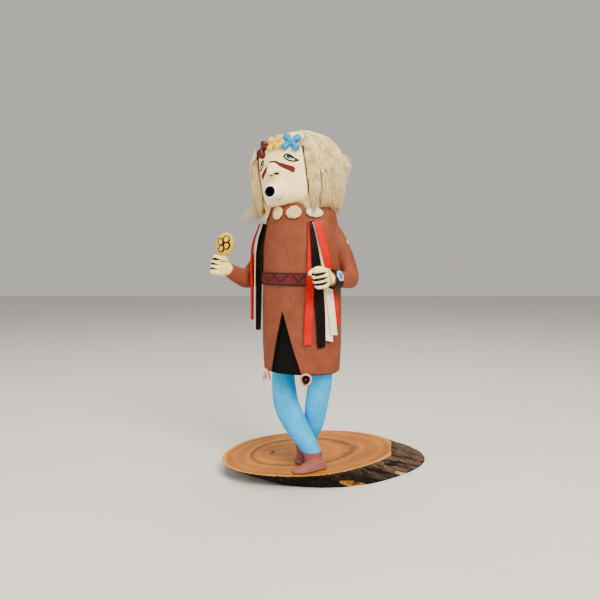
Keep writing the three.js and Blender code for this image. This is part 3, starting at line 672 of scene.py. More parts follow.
def saw_slab():
    """The slab: an oblique slice of branch with bark on its rim and a split in its pith."""
    side_rows, top_rows = 22, 46
    profile = [(i / 6, 0) for i in range(7)]
    profile += [(1, (i + 1) / side_rows) for i in range(side_rows)]
    profile += [(1 - (i + 1) / top_rows, 1) for i in range(top_rows)]
    bm = lathe(profile, 440)
    ring, depth, broken, chip, front, pith = [], [], [], [], [], []
    for v in bm.verts:
        angle, share, up = math.atan2(v.co.y, v.co.x), min(math.hypot(v.co.x, v.co.y), 1), v.co.z
        on_side = share > 0.999
        relief = bark_relief(angle, up) if on_side else 0
        rimmed = min(up, 1 - up) * side_rows / 2
        lump = (1.1 + relief) * min(rimmed, 1) if on_side else 0
        torn = noise.fractal(Vector((angle * 28, 1, 7)), 0.7, 2.1, 4) * 1.1
        torn *= max(0, 0.35 - math.sin(angle))
        lump += torn * max(0, 1 - (1 - up) * 9) if share > 0.97 else 0
        hole = math.hypot((angle + 1.40) * 75 / 8.5, (up - 0.16) / 0.34) - 1
        small = math.hypot((angle + 0.62) * 62 / 3.6, (up - 0.12) / 0.16) - 1
        if on_side and hole < 0:
            lump -= 2.6 * min(-hole * 2, 1) * (0.7 + noise.noise(v.co * 9))
        way = Vector((math.cos(angle), math.sin(angle), 0))
        at = SLAB_LEAN * up + way * share * (slab_edge(angle) + lump)
        if up > 0.999:
            core = PITH.lerp(SLAB_LEAN, 1 - (1 - share) ** 1.8)
            at += core - SLAB_LEAN
        blunt = 46.5 + (at.y + 15.5) * 0.14
        at.x = at.x + (min(at.x, blunt) - at.x) * max(0, (up - 0.55) / 0.45) ** 1.5
        at.z = SLAB_THICK * up + (0.1 * noise.noise(at * 0.12) if up > 0.999 else 0)
        ring.append(share)
        depth.append(relief)
        broken.append(hole * 6)
        chip.append(small * 3)
        # painted shade on the bark, strongest at the front and lower down
        front.append(max(0, -math.sin(angle + 0.42)) * (1.15 - 0.4 * up))
        pith.append(at.copy())
        v.co = at
    wood, bark, under = varnished_slice(), barked(), sawn()
    slab = make("varnished_slab", bm, ROW, wood, sharp=38)
    slab.data.materials.append(bark)
    slab.data.materials.append(under)
    for p in slab.data.polygons:
        high, low = p.center.z > (SLAB_THICK - 0.2) * MM, p.center.z < 0.05 * MM
        p.material_index = 0 if high else 2 if low else 1
    flat = np.array([(p.x, p.y) for p in pith])
    split = [(-66.5, -6.5), (-64.6, -9.2), (-64.9, -13), (-66.6, -16.2), (-67.6, -17.5)]
    branch = [(-64.6, -9.2), (-61.5, -7.6), (-59.4, -7.9)]
    cracks = np.minimum(to_line(flat, split) - 1.05, to_line(flat, branch) - 0.65)
    knot = to_line(flat, [(-86.4, -13), (-84.4, -15.5), (-83, -15)]) - 0.4
    mark(slab, "ring", ring)
    mark(slab, "bark_depth", depth)
    mark(slab, "raw", broken)
    mark(slab, "chip", chip)
    mark(slab, "front", front)
    mark(slab, "pith", np.minimum(cracks, knot))
    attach(slab, "root")
    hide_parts("base_slab")


# ---- body ------------------------------------------------------------------
RIGHT_LEG = [(-18, -2, HEM_Z + 6, 9.2, 9.6), (-16.6, -3.5, 84, 10.4, 10.8), (-12.6, -5.2, 66, 11.2, 11)]
RIGHT_LEG += [(-2.1, -6.6, 49.6, 10.6, 10.4), (8.6, -4.6, 34, 8.4, 8.4), (13.2, -3.4, CUFF_Z, 7.6, 7.6)]
LEFT_LEG = [(19.4, 2.6, HEM_Z + 6, 9.6, 9.6), (15.6, 5, 84, 10.4, 10.4), (11.3, 7.6, 68, 10.2, 10.4)]
LEFT_LEG += [(4.8, 12.5, 46.4, 8.8, 9.2), (-2.4, 15.6, 33, 7.8, 7.8), (-7, 16.7, CUFF_Z, 7.2, 7.4)]
RIGHT_ARM = [(-24, 3, 226, 8, 8), (-34, 2, 209, 9.2, 8.6), (-45.4, -3, 188, 8.8, 9.4)]
RIGHT_ARM += [(-50.8, -9.6, 178.4, 8.8, 9.2), (-54, -20, 180.6, 7.4, 7.8), (-56, -31.5, 186, 6, 6.2)]
LEFT_ARM = [(24, 3, 226, 8, 8), (33.5, 6.4, 207, 8.8, 8.4), (40.4, 10.5, 189, 7.4, 8.4)]
LEFT_ARM += [(44.2, 9, 179.6, 6.2, 8.2), (45, -4.8, 178.6, 5.1, 7.2), (41.8, -21.5, 179.3, 5.2, 6.6)]
ARM_SIDE = (1, 0, 0.2)
RIGHT_FIST = Vector((-59.2, -40, 190))
LEFT_FIST = Vector((37.7, -30.9, 180.3))
SLIT = [(-16.2, HEM_Z - 5), (16.6, HEM_Z - 5), (-1.2, SLIT_TOP_Z)]


def plate(half, low, high, sides=160, rows=12):
    """An upright oval drum between two heights."""
    bm = tube(sides, rows)
    place = Matrix.Translation((0, 0, (low + high) / 2)) @ Matrix.Diagonal((*half, high - low, 1))
    bmesh.ops.transform(bm, matrix=place, verts=bm.verts)
    return bm


def carve_tunic():
    """The tunic and both arms in one skin, with the slit cut through its front."""
    marks = [("edge_ink", "0C0705"), ("chip", "F4EAD8")]
    clay = painted("terracotta_paint", "7C3F29", "6E3622", "985238", 0.66, marks)
    drum = tube(128, 90)
    for v in drum.verts:
        z = HEM_Z + (NECK_Z - HEM_Z) * (v.co.z + 0.5)
        share = np.interp(z, TUNIC_Z, TUNIC_SHARE)
        v.co = Vector((v.co.x * TUNIC_HALF[0] * share, v.co.y * TUNIC_HALF[1] * share, z))
    arms = [limb(keys, 40, 60, ARM_SIDE) for keys in (RIGHT_ARM, LEFT_ARM)]
    cutter = make("slit_cutter", pushed([(x, -45, z) for x, z in SLIT], (0, 37, 0)), FIGURE, clay)
    tunic = make("tunic", gathered(drum, *arms), FIGURE, clay)
    fuse(tunic, 0.85, 5, cutter)
    at = points(tunic, FIGURE)
    edge = np.where(at[:, 1] < -9, to_patch(at[:, [0, 2]], SLIT) - 0.55, NO_MARK)
    mark(tunic, "edge_ink", edge)
    row = points(tunic, ROW)
    mark(tunic, "chip", np.linalg.norm((row - (2.0, -60.5, 210.9)) / (1.6, 9, 2.0), axis=1) - 1)
    return tunic


def carve_underskirt():
    """The plain black drum that shows through the slit."""
    inner = [half * 0.965 - 2.2 for half in TUNIC_HALF]
    black = painted("black_paint", "050403", "020202", "12100E", 0.7, gleam=0.1)
    return make("underskirt", plate(inner, HEM_Z - 0.6, BELT_LOW), FIGURE, black, sharp=40)


def paint_belt():
    """The belt: dark red between black lines, with a black zigzag drawn by hand."""
    marks = [("ink", "080303")]
    red = painted("belt_paint", "580A16", "480810", "701A24", 0.6, marks, wobble=0.35)
    half = [h + BELT_PROUD for h in TUNIC_HALF]
    belt = make("belt", plate(half, BELT_LOW, BELT_HIGH, 360, 16), FIGURE, red, sharp=40)
    at = points(belt, FIGURE)
    angle = np.arctan2(at[:, 0] / half[0], -at[:, 1] / half[1])
    uv = np.c_[angle * BELT_RUN, at[:, 2]]
    top, low = BELT_HIGH - 2.1, BELT_LOW + 2.9
    ink = np.minimum(at[:, 2] - (BELT_LOW + 1.15), (BELT_HIGH - 1.1) - at[:, 2])
    zigzags = [(-41, -26.5, -14, -4.3, 8), (14.6, 23, 30.2, 38), range(52, 180, 16)]
    for turns in (*zigzags, range(-178, -50, 16)):
        line = [(math.radians(a) * BELT_RUN, low if i % 2 else top) for i, a in enumerate(turns)]
        ink = np.minimum(ink, to_line(uv, line) - 0.66)
    mark(belt, "ink", ink)
    return belt


def moccasin(heel, toe, ankle):
    """A soft shoe, flat below, with its ankle under the leg."""
    heel, toe = Vector((*heel, SOLE_Z)), Vector((*toe, SOLE_Z))
    along = toe - heel
    across = (-along.y, along.x, 0)
    steps = [(-0.02, 3.2, 5), (0.07, 5.8, 8.4), (0.3, 6.7, 10), (0.55, 7.2, 7.4), (0.82, 6.6, 4.4)]
    steps += [(0.97, 3.8, 3), (1.02, 1.6, 1.6)]
    foot = limb([(*(heel + along * s), wide, high) for s, wide, high in steps], 40, 44, across)
    x, y = ankle
    keys = [(x, y, SOLE_Z - 2, 6.8, 7), (x, y, 20, 7.3, 7.5), (x - 0.4, y, CUFF_Z + 0.9, 8.6, 8.4)]
    return [foot, limb(keys, 40, 16)]


def carve_legs():
    """Crossing legs cut off level at the cuffs, and two flat-soled shoes."""
    blue = painted("sky_blue_paint", "06B0F2", "0498E0", "40C8F4", 0.6, grain=0.2, gleam=0.15)
    legs = []
    cuff = {"plane_co": (0, 0, CUFF_Z + 0.5), "plane_no": (0, 0, -1), "clear_outer": True}
    for keys, ankle in ((RIGHT_LEG, (16, -2.6, 19, 7.4, 7.4)), (LEFT_LEG, (-9.4, 17.2, 19, 7, 7.2))):
        leg = limb(keys + [ankle], 44, 70)
        bmesh.ops.bisect_plane(leg, geom=leg.verts[:] + leg.edges[:] + leg.faces[:], **cuff)
        bmesh.ops.holes_fill(leg, edges=[e for e in leg.edges if e.is_boundary])
        legs.append(leg)
    legs = make("leggings", gathered(*legs), FIGURE, blue)
    mauve = painted("mauve_paint", "875450", "744340", "9C6A62", 0.64, [("sole_contact_shade", "3C1C18")])
    right = moccasin((21.6, 3.4), (7.8, -25.6), (13.7, -3.1))
    left = moccasin((-12, 26.5), (0.4, -1.4), (-7.2, 16.6))
    floor = bmesh.new()
    bmesh.ops.create_cube(floor, size=90)
    bmesh.ops.translate(floor, vec=(0, 0, SOLE_Z - 45), verts=floor.verts)
    cutter = make("sole_cutter", floor, FIGURE, mauve)
    shoes = make("moccasins", gathered(*right, *left), FIGURE, mauve)
    fuse(shoes, 0.6, 3, cutter)
    # painted shade: a dark band along the foot of the shoes where they sit on the slab
    mark(shoes, "sole_contact_shade", points(shoes, FIGURE)[:, 2] - (SOLE_Z + 0.7))
    return [legs, shoes]


# ---- hands -----------------------------------------------------------------
def fist(center, wrist, palm_side, size, droop):
    """A closed fist: palm, four curled fingers and a thumb, with the frame it is drawn in."""
    forward = (center - wrist).normalized()
    palm = (palm_side - forward * forward.dot(palm_side)).normalized()
    thumb = forward.cross(palm)
    if thumb.z < 0:
        thumb.negate()
    turn = Matrix((forward, thumb, palm)).transposed().to_4x4() @ Matrix.Rotation(-droop, 4, "Z")
    own = Matrix.Translation(center) @ turn @ Matrix.Scale(size, 4)

    def key(f, t, p, r):
        return (*(own @ Vector((f, t, p))), r * size, r * size)

    level = axes(turn.col[0][:3], turn.col[1][:3])
    back = blob(own @ Vector((-2.6, 0, 0)), [h * size for h in (8.8, 6, 8.8)], level)
    inside, middle = wrist - forward * 1.5, wrist + forward * 2.6
    keys = [(*inside, 4.8 * size, 4.6 * size), (*middle, 6.6 * size, 5 * size)]
    keys.append((*center, 7 * size, 5 * size))
    parts = [back, limb(keys, 32, 20, thumb)]
    for t, reach in ((7, 6.6), (2.4, 7.6), (-2.3, 7.2), (-6.9, 5.8)):
        keys = [key(-3, t * 0.96, -3.6, 2.3), key(reach - 2.5, t, -3.6, 2.6), key(reach, t, -0.2, 2.6)]
        keys += [key(reach - 2.2, t, 4.2, 2.4), key(reach - 7, t, 4.2, 2.2)]
        parts.append(limb(keys, 20, 36, thumb))
    keys = [key(-5, 6, 2, 2.8), key(0, 7.8, 4.4, 2.7), key(6.4, 6.4, 5.4, 2.5), key(10.4, 5.4, 4.2, 1.9)]
    parts.append(limb(keys, 20, 30, palm))
    return parts, own


def carve_hands():
    """Two painted fists: black lines between fingers, brown creases, and a ring on the left."""
    marks = [("crease", "6A3A1E"), ("ring_band", "B4D0D0"), ("ink", "040302")]
    cream = painted("cream_hand_paint", "FFF0AE", "F2DC8C", "FFF8CC", 0.6, marks, grain=0.08, wobble=0.15)
    pieces = []
    wrists = [Vector(RIGHT_ARM[-1][:3]), Vector(LEFT_ARM[-1][:3])]
    centers = [RIGHT_FIST - Vector((0, 0, 0.8)), LEFT_FIST + Vector((0.8, 0.5, 0.5))]
    shapes = [("right_hand", centers[0], wrists[0], Vector((0.9, -0.4, 0)), 0.9, 0.06)]
    shapes += [("left_hand", centers[1], wrists[1], Vector((-0.8, 0.5, 0)), 0.88, 0.36)]
    for name, center, wrist, palm, size, droop in shapes:
        parts, own = fist(center, wrist, palm, size, droop)
        hand = make(name, gathered(*parts), FIGURE, cream)
        fuse(hand, 0.42, 3)
        f, t, _ = points(hand, FIGURE @ own).T
        reach = (-3.8, 9.5) if name == "left_hand" else (3.6, 12)
        ink = np.full(len(f), NO_MARK)
        for gap in (4.7, 0.05, -4.6):
            bow = 0.5 * np.sin((f + 4) / 4)
            taper = np.clip((f - reach[0]) / 7, 0, 1) * 1.5 - 0.05
            line = np.abs(t - gap - bow * 0.4) - taper
            ends = np.maximum(reach[0] - f, f - reach[1])
            ink = np.minimum(ink, np.maximum(line, ends))
        crease = np.minimum(np.abs(f + 4.2 + 0.03 * t**2) - 0.5, np.abs(f + 6.4 + 0.03 * t**2) - 0.45)
        ring = np.hypot((f - 1.2) / 2.4, (t + 2.3) / 1.4) - 1
        stone = np.hypot(f - 1.0, t + 2.3) - 0.6
        if name == "left_hand":
            ink = np.minimum(ink, stone)
        else:
            ring = np.full(len(f), NO_MARK)
            crease = np.maximum(np.abs(t - 4.9 + 0.28 * (f + 1)) - 0.42, np.abs(f + 2) - 6.5)
        mark(hand, "ink", ink)
        mark(hand, "crease", crease)
        mark(hand, "ring_band", ring)
        pieces.append(hand)
    return pieces


# ---- head ------------------------------------------------------------------
def carve_mask():
    """The case mask with its tube mouth and nose, and the face painted on it."""
    marks = [("lip", "FFFAF0"), ("muzzle_shade", "9A7A54"), ("band_ink", "100303"), ("band", "620E0E")]
    marks += [("eye_ink", "0A1212"), ("eye_white", "FBF8F0"), ("pupil", "0C1414"), ("glint", "B8C8CC")]
    marks += [("black", "030202")]
    ivory = painted("ivory_mask_paint", "FFEDBC", "F6DC9E", "FFF6DA", 0.6, marks, grain=0.08, wobble=0.12)
    shares = [0.5, 0.79, 0.93, 0.99, 1, 1, 0.99, 0.965, 0.91, 0.8, 0.6, 0.32, 0.02]
    heights = [0.028, 0.052, 0.118, 0.24, 0.42, 0.58, 0.7, 0.79, 0.865, 0.925, 0.97, 0.993, 1]
    rows = 72
    keys = [(s * HEAD_HALF, h * HEAD_HIGH, 0) for s, h in zip(shares, heights)]
    profile = spline(keys, np.linspace(0, 1, rows + 1))
    drum = tube(96, rows)
    for v in drum.verts:
        r, z, _ = profile[round((v.co.z + 0.5) * rows)]
        v.co = Vector((v.co.x * r, v.co.y * r * HEAD_DEEP, z))
    y = -MOUTH_REACH
    snout = [(0, -22, MOUTH_Z + 1, 14, 12), (0, -28, MOUTH_Z + 0.6, 11, 10.6)]
    snout += [(0, -33, MOUTH_Z + 0.2, 7.6, 7.6), (0.7, y + 2, MOUTH_Z, MOUTH_RIM + 0.7, MOUTH_RIM + 0.5)]
    snout += [(MOUTH_SIDE, y, MOUTH_Z, MOUTH_RIM + 0.5, MOUTH_RIM)]
    face = -HEAD_HALF * 0.9
    nose = [(0, face - 0.6, 28.0, 5.2, 6.6), (0, face - 1, 30.0, 5.6, 8.4), (0, face - 1, 33.6, 4.2, 7)]
    nose += [(0, face, 38.2, 3.0, 4.6), (0, face, 40, 2.0, 2.8)]
    bore = tube(48, 4)
    place = Matrix.Translation((MOUTH_SIDE, y, MOUTH_Z)) @ Matrix.Rotation(math.pi / 2, 4, "X")
    place = place @ Matrix.Diagonal((MOUTH_BORE * MOUTH_OVAL, MOUTH_BORE, 16, 1))
    bmesh.ops.transform(bore, matrix=place, verts=bore.verts)
    nostrils = [blob((side * 2.8, face - 4.4, 27.4), (1.4, 1.9, 1.4)) for side in (-1, 1)]
    wings = [blob((side * 4.3, face - 2.8, 29.4), (2.2, 2.9, 1.9)) for side in (-1, 1)]
    cutter = make("mouth_cutter", gathered(bore, *nostrils), HEAD, ivory)
    parts = [drum, limb(snout, 64, 40), limb(nose, 36, 30), *wings]
    mask = make("mask", gathered(*parts), HEAD, ivory)
    fuse(mask, 0.55, 4, cutter)
    at = points(mask, HEAD)
    x, depth, z = at.T
    uv = np.c_[np.arctan2(x, -depth) * HEAD_HALF, z]
    both = np.c_[np.abs(uv[:, 0]), z]
    front = np.where(depth < 0, 0, NO_MARK)
    tube_r = np.hypot((x - MOUTH_SIDE) / MOUTH_OVAL, z - MOUTH_Z)
    black = np.where(depth < -30, tube_r - MOUTH_BORE - 0.6, NO_MARK)
    # black in the cut nostrils, spread as painted shade over the underside of the nose
    for s in (-1, 1):
        nostril = (at - (s * 3.3, face - 3.8, 27.3)) / (2.6, 3, 1.1)
        black = np.minimum(black, np.linalg.norm(nostril, axis=1) - 1)
    mark(mask, "black", black)
    mark(mask, "lip", np.where(depth < -36.5, tube_r - 7, NO_MARK))
    almond = [(10.9, 40.6), (12.6, 42), (15.2, 41.9), (18.2, 40.1), (20.8, 37.4), (23.8, 35.4)]
    almond += [(22.2, 34.7), (19.2, 34.7), (15.6, 35.7), (12.6, 37.8)]
    white = [(11.9, 40.3), (13, 41.1), (15.1, 41), (17.7, 39.3), (20.2, 36.8), (21.3, 35.7)]
    white += [(19.1, 35.6), (15.9, 36.6), (13.2, 38.5)]
    mark(mask, "eye_ink", to_patch(both, almond) - 0.42 + front)
    mark(mask, "eye_white", to_patch(both, white) + 0.3 + front)
    mark(mask, "pupil", to_patch(both, oval(16.3, 38.9, 2.9, 1.15, -0.42)) - 0.3 + front)
    mark(mask, "glint", to_patch(both, oval(16.9, 38.0, 1.7, 0.34, -0.42)) + front)
    stripe = [(0, 38.7), (3.4, 38.4), (6.1, 36.6), (18.7, 30.8), (19.9, 29.2), (18.6, 25.9)]
    stripe += [(17.4, 25.9), (6.3, 33), (4.4, 35), (3, 36.5), (0, 36.5)]
    ragged = to_patch(both, stripe) + front
    mark(mask, "band_ink", ragged)
    mark(mask, "band", ragged + 0.7)
    # painted shade: dark strokes in the crease below the muzzle and under its side
    crease = to_line(uv, [(2.2, 5.2), (4.6, 5.9), (6.6, 7.4)]) - 0.32
    under = to_line(uv, [(7.4, 8.8), (8.9, 10.6)]) - 0.22
    mark(mask, "muzzle_shade", np.minimum(crease, under) + front)
    return mask


def lace_mask():
    """The twisted rawhide thong that runs down each edge of the mask."""
    cheek_z = [2, 3.4, 7.2, 14, 40, 47, 51]
    cheek_r = [20, 24.4, 28.1, 29.8, 30.1, 28.9, 27.4]
    thongs = []
    for side in (-1, 1):
        for phase in (0, math.pi):
            keys = []
            for i in range(90):
                z = 47 - 43.6 * i / 89
                r = np.interp(z, cheek_z, cheek_r) + 0.25
                turn = i * 0.9 + phase
                a = side * (MASK_EDGE + (0.42 * math.cos(turn)) / r)
                r += 0.42 * math.sin(turn)
                keys.append((r * math.sin(a), -r * HEAD_DEEP * math.cos(a), z, 0.46, 0.46))
            thongs.append(limb(keys, 8, 178, (0, 0.3, 0.9)))
    return make("mask_thong", gathered(*thongs), HEAD, hide("tan_thong", "5C3C1C", "9A7844", 0.7))


def mould_flowers():
    """Three four-petalled flowers on the brow, thick with enamel."""
    brow = [("flower_red", -24, 51.2, 1.0, "5A0B08", "3E0504", 0.3)]
    brow += [("flower_yellow", 6.5, 53.2, 0.9, "F0C400", "92A000", 0.75)]
    brow += [("flower_blue", 37, 51.4, 1.08, "0088CC", "0062A0", 0.5)]
    for name, degrees, height, size, base, deep, spin in brow:
        petals = []
        for i in range(4):
            a = spin + i * math.pi / 2
            out = Vector((math.cos(a), 0, math.sin(a)))
            sizes = [(0.2, 2.1, 1.7), (2.6, 2.1, 1.9), (4.8, 2.9, 2.4), (7.2, 3.0, 2.3), (8.8, 1.5, 1.3)]
            petals.append(limb([(*(out * r), w, d) for r, w, d in sizes], 24, 24, (-out.z, 0, out.x)))
            petals.append(blob(out * 6.4, (2.2, 2.5, 3.2), axes(out, out.cross(Vector((0, 1, 0))))))
        petals.append(blob((0, -0.5, 0), (2.6, 2.2, 2.6)))
        angle = math.radians(degrees)
        r = HEAD_HALF * 0.93
        tip = Euler((math.radians(-24), 0, 0)).to_matrix().to_4x4()
        at = (r * math.sin(angle), -r * HEAD_DEEP * math.cos(angle) - 0.6, height)
        turn = Matrix.Rotation(angle, 4, "Z")
        place = HEAD @ Matrix.Translation(at) @ turn @ tip @ Matrix.Scale(size, 4)
        flower = make(name + "_enamel", gathered(*petals), place, glossed(name + "_enamel", base, deep))
        fuse(flower, 0.3, 4)
        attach(flower, "root")
        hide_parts(name)


# ---- fur wig ---------------------------------------------------------------
WIG_PROFILE = [(-8, 30), (-2, 34), (14, 38.6), (32, 40.6), (45, 38), (55, 31), (63, 18.5), (67, 0.6)]
WIG_Z = [p[0] for p in WIG_PROFILE]
WIG_R = [p[1] for p in WIG_PROFILE]


def wig_point(angle, z, off):
    """A place on the wig's outer form, angle round from the face, in the head's frame."""
    r = np.interp(z, WIG_Z, WIG_R) + off
    return np.stack([r * np.sin(angle), WIG_BACK - WIG_DEEP * r * np.cos(angle), z], axis=-1)


def lay_skin():
    """The cap of hide that the fur grows from, inside the fur."""
    rows = 40
    cap = tube(96, rows)
    for v in cap.verts:
        z = -6 + 70 * (v.co.z + 0.5)
        r = max(np.interp(z, WIG_Z, WIG_R) - 3.4, 0.3)
        v.co = Vector((v.co.x * r, WIG_BACK + v.co.y * r * WIG_DEEP, z * 0.985 - 1))
    x = HEAD_HALF * math.sin(MASK_EDGE) + 0.6
    y = HEAD_HALF * HEAD_DEEP * math.cos(MASK_EDGE) - 0.6
    plan = [(-60, -y + 9), (-x, -y), (x, -y), (60, -y + 9), (60, -80), (-60, -80)]
    material, tree, surface = finish("fur_skin", roughness=0.9)
    place = add(tree, "TexCoord", out="Object")
    down = add(tree, "Mapping", {"Vector": place, "Scale": (1, 1, 0.3)})
    patch = add(tree, "TexNoise", {0: down, "Scale": per_mm(2), "Detail": 4, "Roughness": 0.6})
    color = layered(tree, hue("B8985C"), [(patch, 0, 1, 1, "D8C08A")])
    dressed(material, tree, surface, color, [(patch, 0.8, 1)])
    cutter = make("face_cutter", pushed([(*p, -40) for p in plan], (0, 0, 98)), HEAD, material)
    cap = make("fur_skin", cap, HEAD, material)
    return fuse(cap, 1.0, 3, cutter)


def comb(angle, z, length, lift, tip_gather):
    """The lines of many hairs, each flowing down and back over the wig, as rows of points."""
    lines = np.empty((len(angle), HAIR_STEPS, 3))
    clump = np.round(angle / 0.085) * 0.085
    clump = clump + 0.05 * np.sin(clump * 91 + np.round(z / 9))
    sway = 0.26 * np.sin(angle) * (z > 20) + RNG.normal(0, 0.05, len(angle))
    a, height = angle.copy(), z.copy()
    step = length / (HAIR_STEPS - 1)
    for i, t in enumerate(np.linspace(0, 1, HAIR_STEPS)):
        lines[:, i] = wig_point(a, height, -3.2 * (1 - t) ** 1.4 + lift * t**1.5)
        slope = np.clip(np.interp(height - 1.0, WIG_Z, WIG_R) - np.interp(height, WIG_Z, WIG_R), 0, 6)
        height = height - step / np.hypot(1, slope)
        a = a + sway * step / 40 + (clump - a) * tip_gather * t * 0.3
    return lines


def fall(count, side):
    """Hairs on the cut edge of the hide beside the mask, falling straight down it."""
    x0 = HEAD_HALF * math.sin(MASK_EDGE) + 1.9
    y0 = -HEAD_HALF * HEAD_DEEP * math.cos(MASK_EDGE)
    level, tilt = 0.97, 0.245
    z = RNG.uniform(4, 57, count)
    share = RNG.uniform(0, 1, count)
    length = RNG.uniform(12, 22, count)
    lift = RNG.uniform(0, 1.5, count)
    stray = RNG.normal(0, 0.7, count)
    cut = -6.5 if side > 0 else -1
    lines = np.empty((count, HAIR_STEPS, 3))
    for i, t in enumerate(np.linspace(0, 1, HAIR_STEPS)):
        height = np.maximum(z - length * t, cut + 5 * (1 - share) - 4 * share * t)
        wide = np.clip(np.interp(height, WIG_Z, WIG_R) * 0.93 - x0 - 1, 0.3, None)
        run = wide * share + stray * t
        off = lift * t - 0.9 * (1 - t)
        x, y = x0 + level * run + tilt * off, y0 + tilt * run - level * off
        lines[:, i] = np.stack([side * x, y, height], axis=-1)
    return lines


def sweep(count):
    """Hairs combed back over the crown from above the brow."""
    x, y = RNG.uniform(-29, 29, count), RNG.uniform(-19.5, 8, count)
    length = RNG.uniform(11, 19, count)
    turn = x / 30 + RNG.normal(0, 0.16, count)
    lift = RNG.uniform(0, 1.3, count)
    lines = np.empty((count, HAIR_STEPS, 3))
    for i, t in enumerate(np.linspace(0, 1, HAIR_STEPS)):
        across, back = x + np.sin(turn) * length * t, y + np.cos(turn) * length * t
        out = np.hypot(across, (back - WIG_BACK) / WIG_DEEP)
        height = np.interp(out, [0.6, 18.5, 31, 38, 40.8, 46], [67, 63, 55, 45, 32, 14])
        lines[:, i] = np.stack([across, back, height - 1.8 - 1.4 * (1 - t) ** 2 + lift * t], axis=-1)
    return lines


def hairs(name, lines, width, material, tones=(0, 1)):
    """Thin tapering hairs along lines: copies of one closed strand, wider than real so that they show."""
    count, steps, _ = lines.shape
    one = tube(3, steps - 1)
    one.verts.index_update()
    ring = np.array([v.co[:] for v in one.verts])
    faces = np.array([[v.index for v in f.verts] + [-1] * (4 - len(f.verts)) for f in one.faces])
    one.free()
    row = np.round((ring[:, 2] + 0.5) * (steps - 1)).astype(int)
    tangent = np.gradient(lines, axis=1)
    tangent /= np.linalg.norm(tangent, axis=2, keepdims=True) + 1e-9
    side = np.cross(tangent, (0.3, 0.2, 0.93))
    side /= np.linalg.norm(side, axis=2, keepdims=True) + 1e-9
    up = np.cross(side, tangent)
    taper = np.interp(np.linspace(0, 1, steps), [0, 0.35, 0.75, 1], [0.8, 1, 0.72, 0.16])
    thick = width * taper
    scale = thick[row] * RNG.uniform(0.75, 1.25, (count, 1))
    wide, high = ((ring[:, axis] * scale)[..., None] for axis in (0, 1))
    verts = lines[:, row] + side[:, row] * wide + up[:, row] * high
    place = np.array(TO_METRES @ HEAD)
    verts = verts.reshape(-1, 3) @ place[:3, :3].T + place[:3, 3]
    tiles = np.arange(count)[:, None, None] * len(ring)
    every = np.where(faces >= 0, faces + tiles, -1).reshape(-1, 4)
    mesh = bpy.data.meshes.new(name)
    mesh.from_pydata(verts.tolist(), [], [[i for i in f if i >= 0] for f in every.tolist()])
    mesh.materials.append(material)
    mesh.shade_smooth()
    piece = bpy.data.objects.new(name, mesh)
    bpy.context.scene.collection.objects.link(piece)
    mark(piece, "along", np.tile(row / (steps - 1), count))
    mark(piece, "tone", np.repeat(RNG.uniform(*tones, count), len(ring)))
    return piece


def grow_fur():
    """The wig in locks: back, sides, beside the mask, crown and stray wisps."""
    material = furred()
    wanted = 4300
    wig = []
    sides = [("fur_back", 150, 210, 1.4, -9), ("fur_left", 63, 150, 1.6, -9)]
    for name, low, high, lift, hem in (*sides, ("fur_right", 210, 297, 1.2, 1)):
        angle = np.radians(RNG.uniform(low, high, wanted))
        z = RNG.uniform(0, 1, wanted) ** 0.8 * 61 + 5
        length = RNG.uniform(18, 34, wanted) * np.interp(z, [5, 30, 66], [0.6, 1.0, 1.1])
        trimmed = hem + np.interp(angle, [1.1, 1.5, 1.9], [6.5, 3.5, 0])
        length = np.minimum(length, z - trimmed + RNG.normal(0, 1.6, wanted))
        lines = comb(angle, z, length, RNG.normal(lift, 1.1, wanted), 1.5)
        wig.append(hairs(name, lines, 0.3, material))
    lines = np.concatenate([fall(1700, 1), fall(1700, -1)])
    wig.append(hairs("fur_beside_mask", lines, 0.28, material, (-0.4, 1.7)))
    wig.append(hairs("fur_crown", sweep(3400), 0.28, material))
    wisps = []
    tufts = [(1.95, 44, 8.5, 18, 46), (2.05, 40, 6, 18, 40), (2.2, 30, 3.5, 22, 50)]
    tufts += [(1.75, 50, 3.5, 24, 50), (-1.2, 19, 20, 26, 26), (-1.25, 18, 14, 24, 34)]
    tufts += [(-1.2, 15, 8, 20, 34)]
    for middle, height, lift, length, many in tufts:
        angle = middle + RNG.normal(0, 0.06, many)
        z = height + RNG.normal(0, 2.2, many)
        long = RNG.uniform(0.75, 1, many) * length
        wisps.append(comb(angle, z, long, RNG.normal(lift, lift * 0.15, many), 1.6))
    wig.append(hairs("fur_wisps", np.concatenate(wisps), 0.25, material))
    return wig


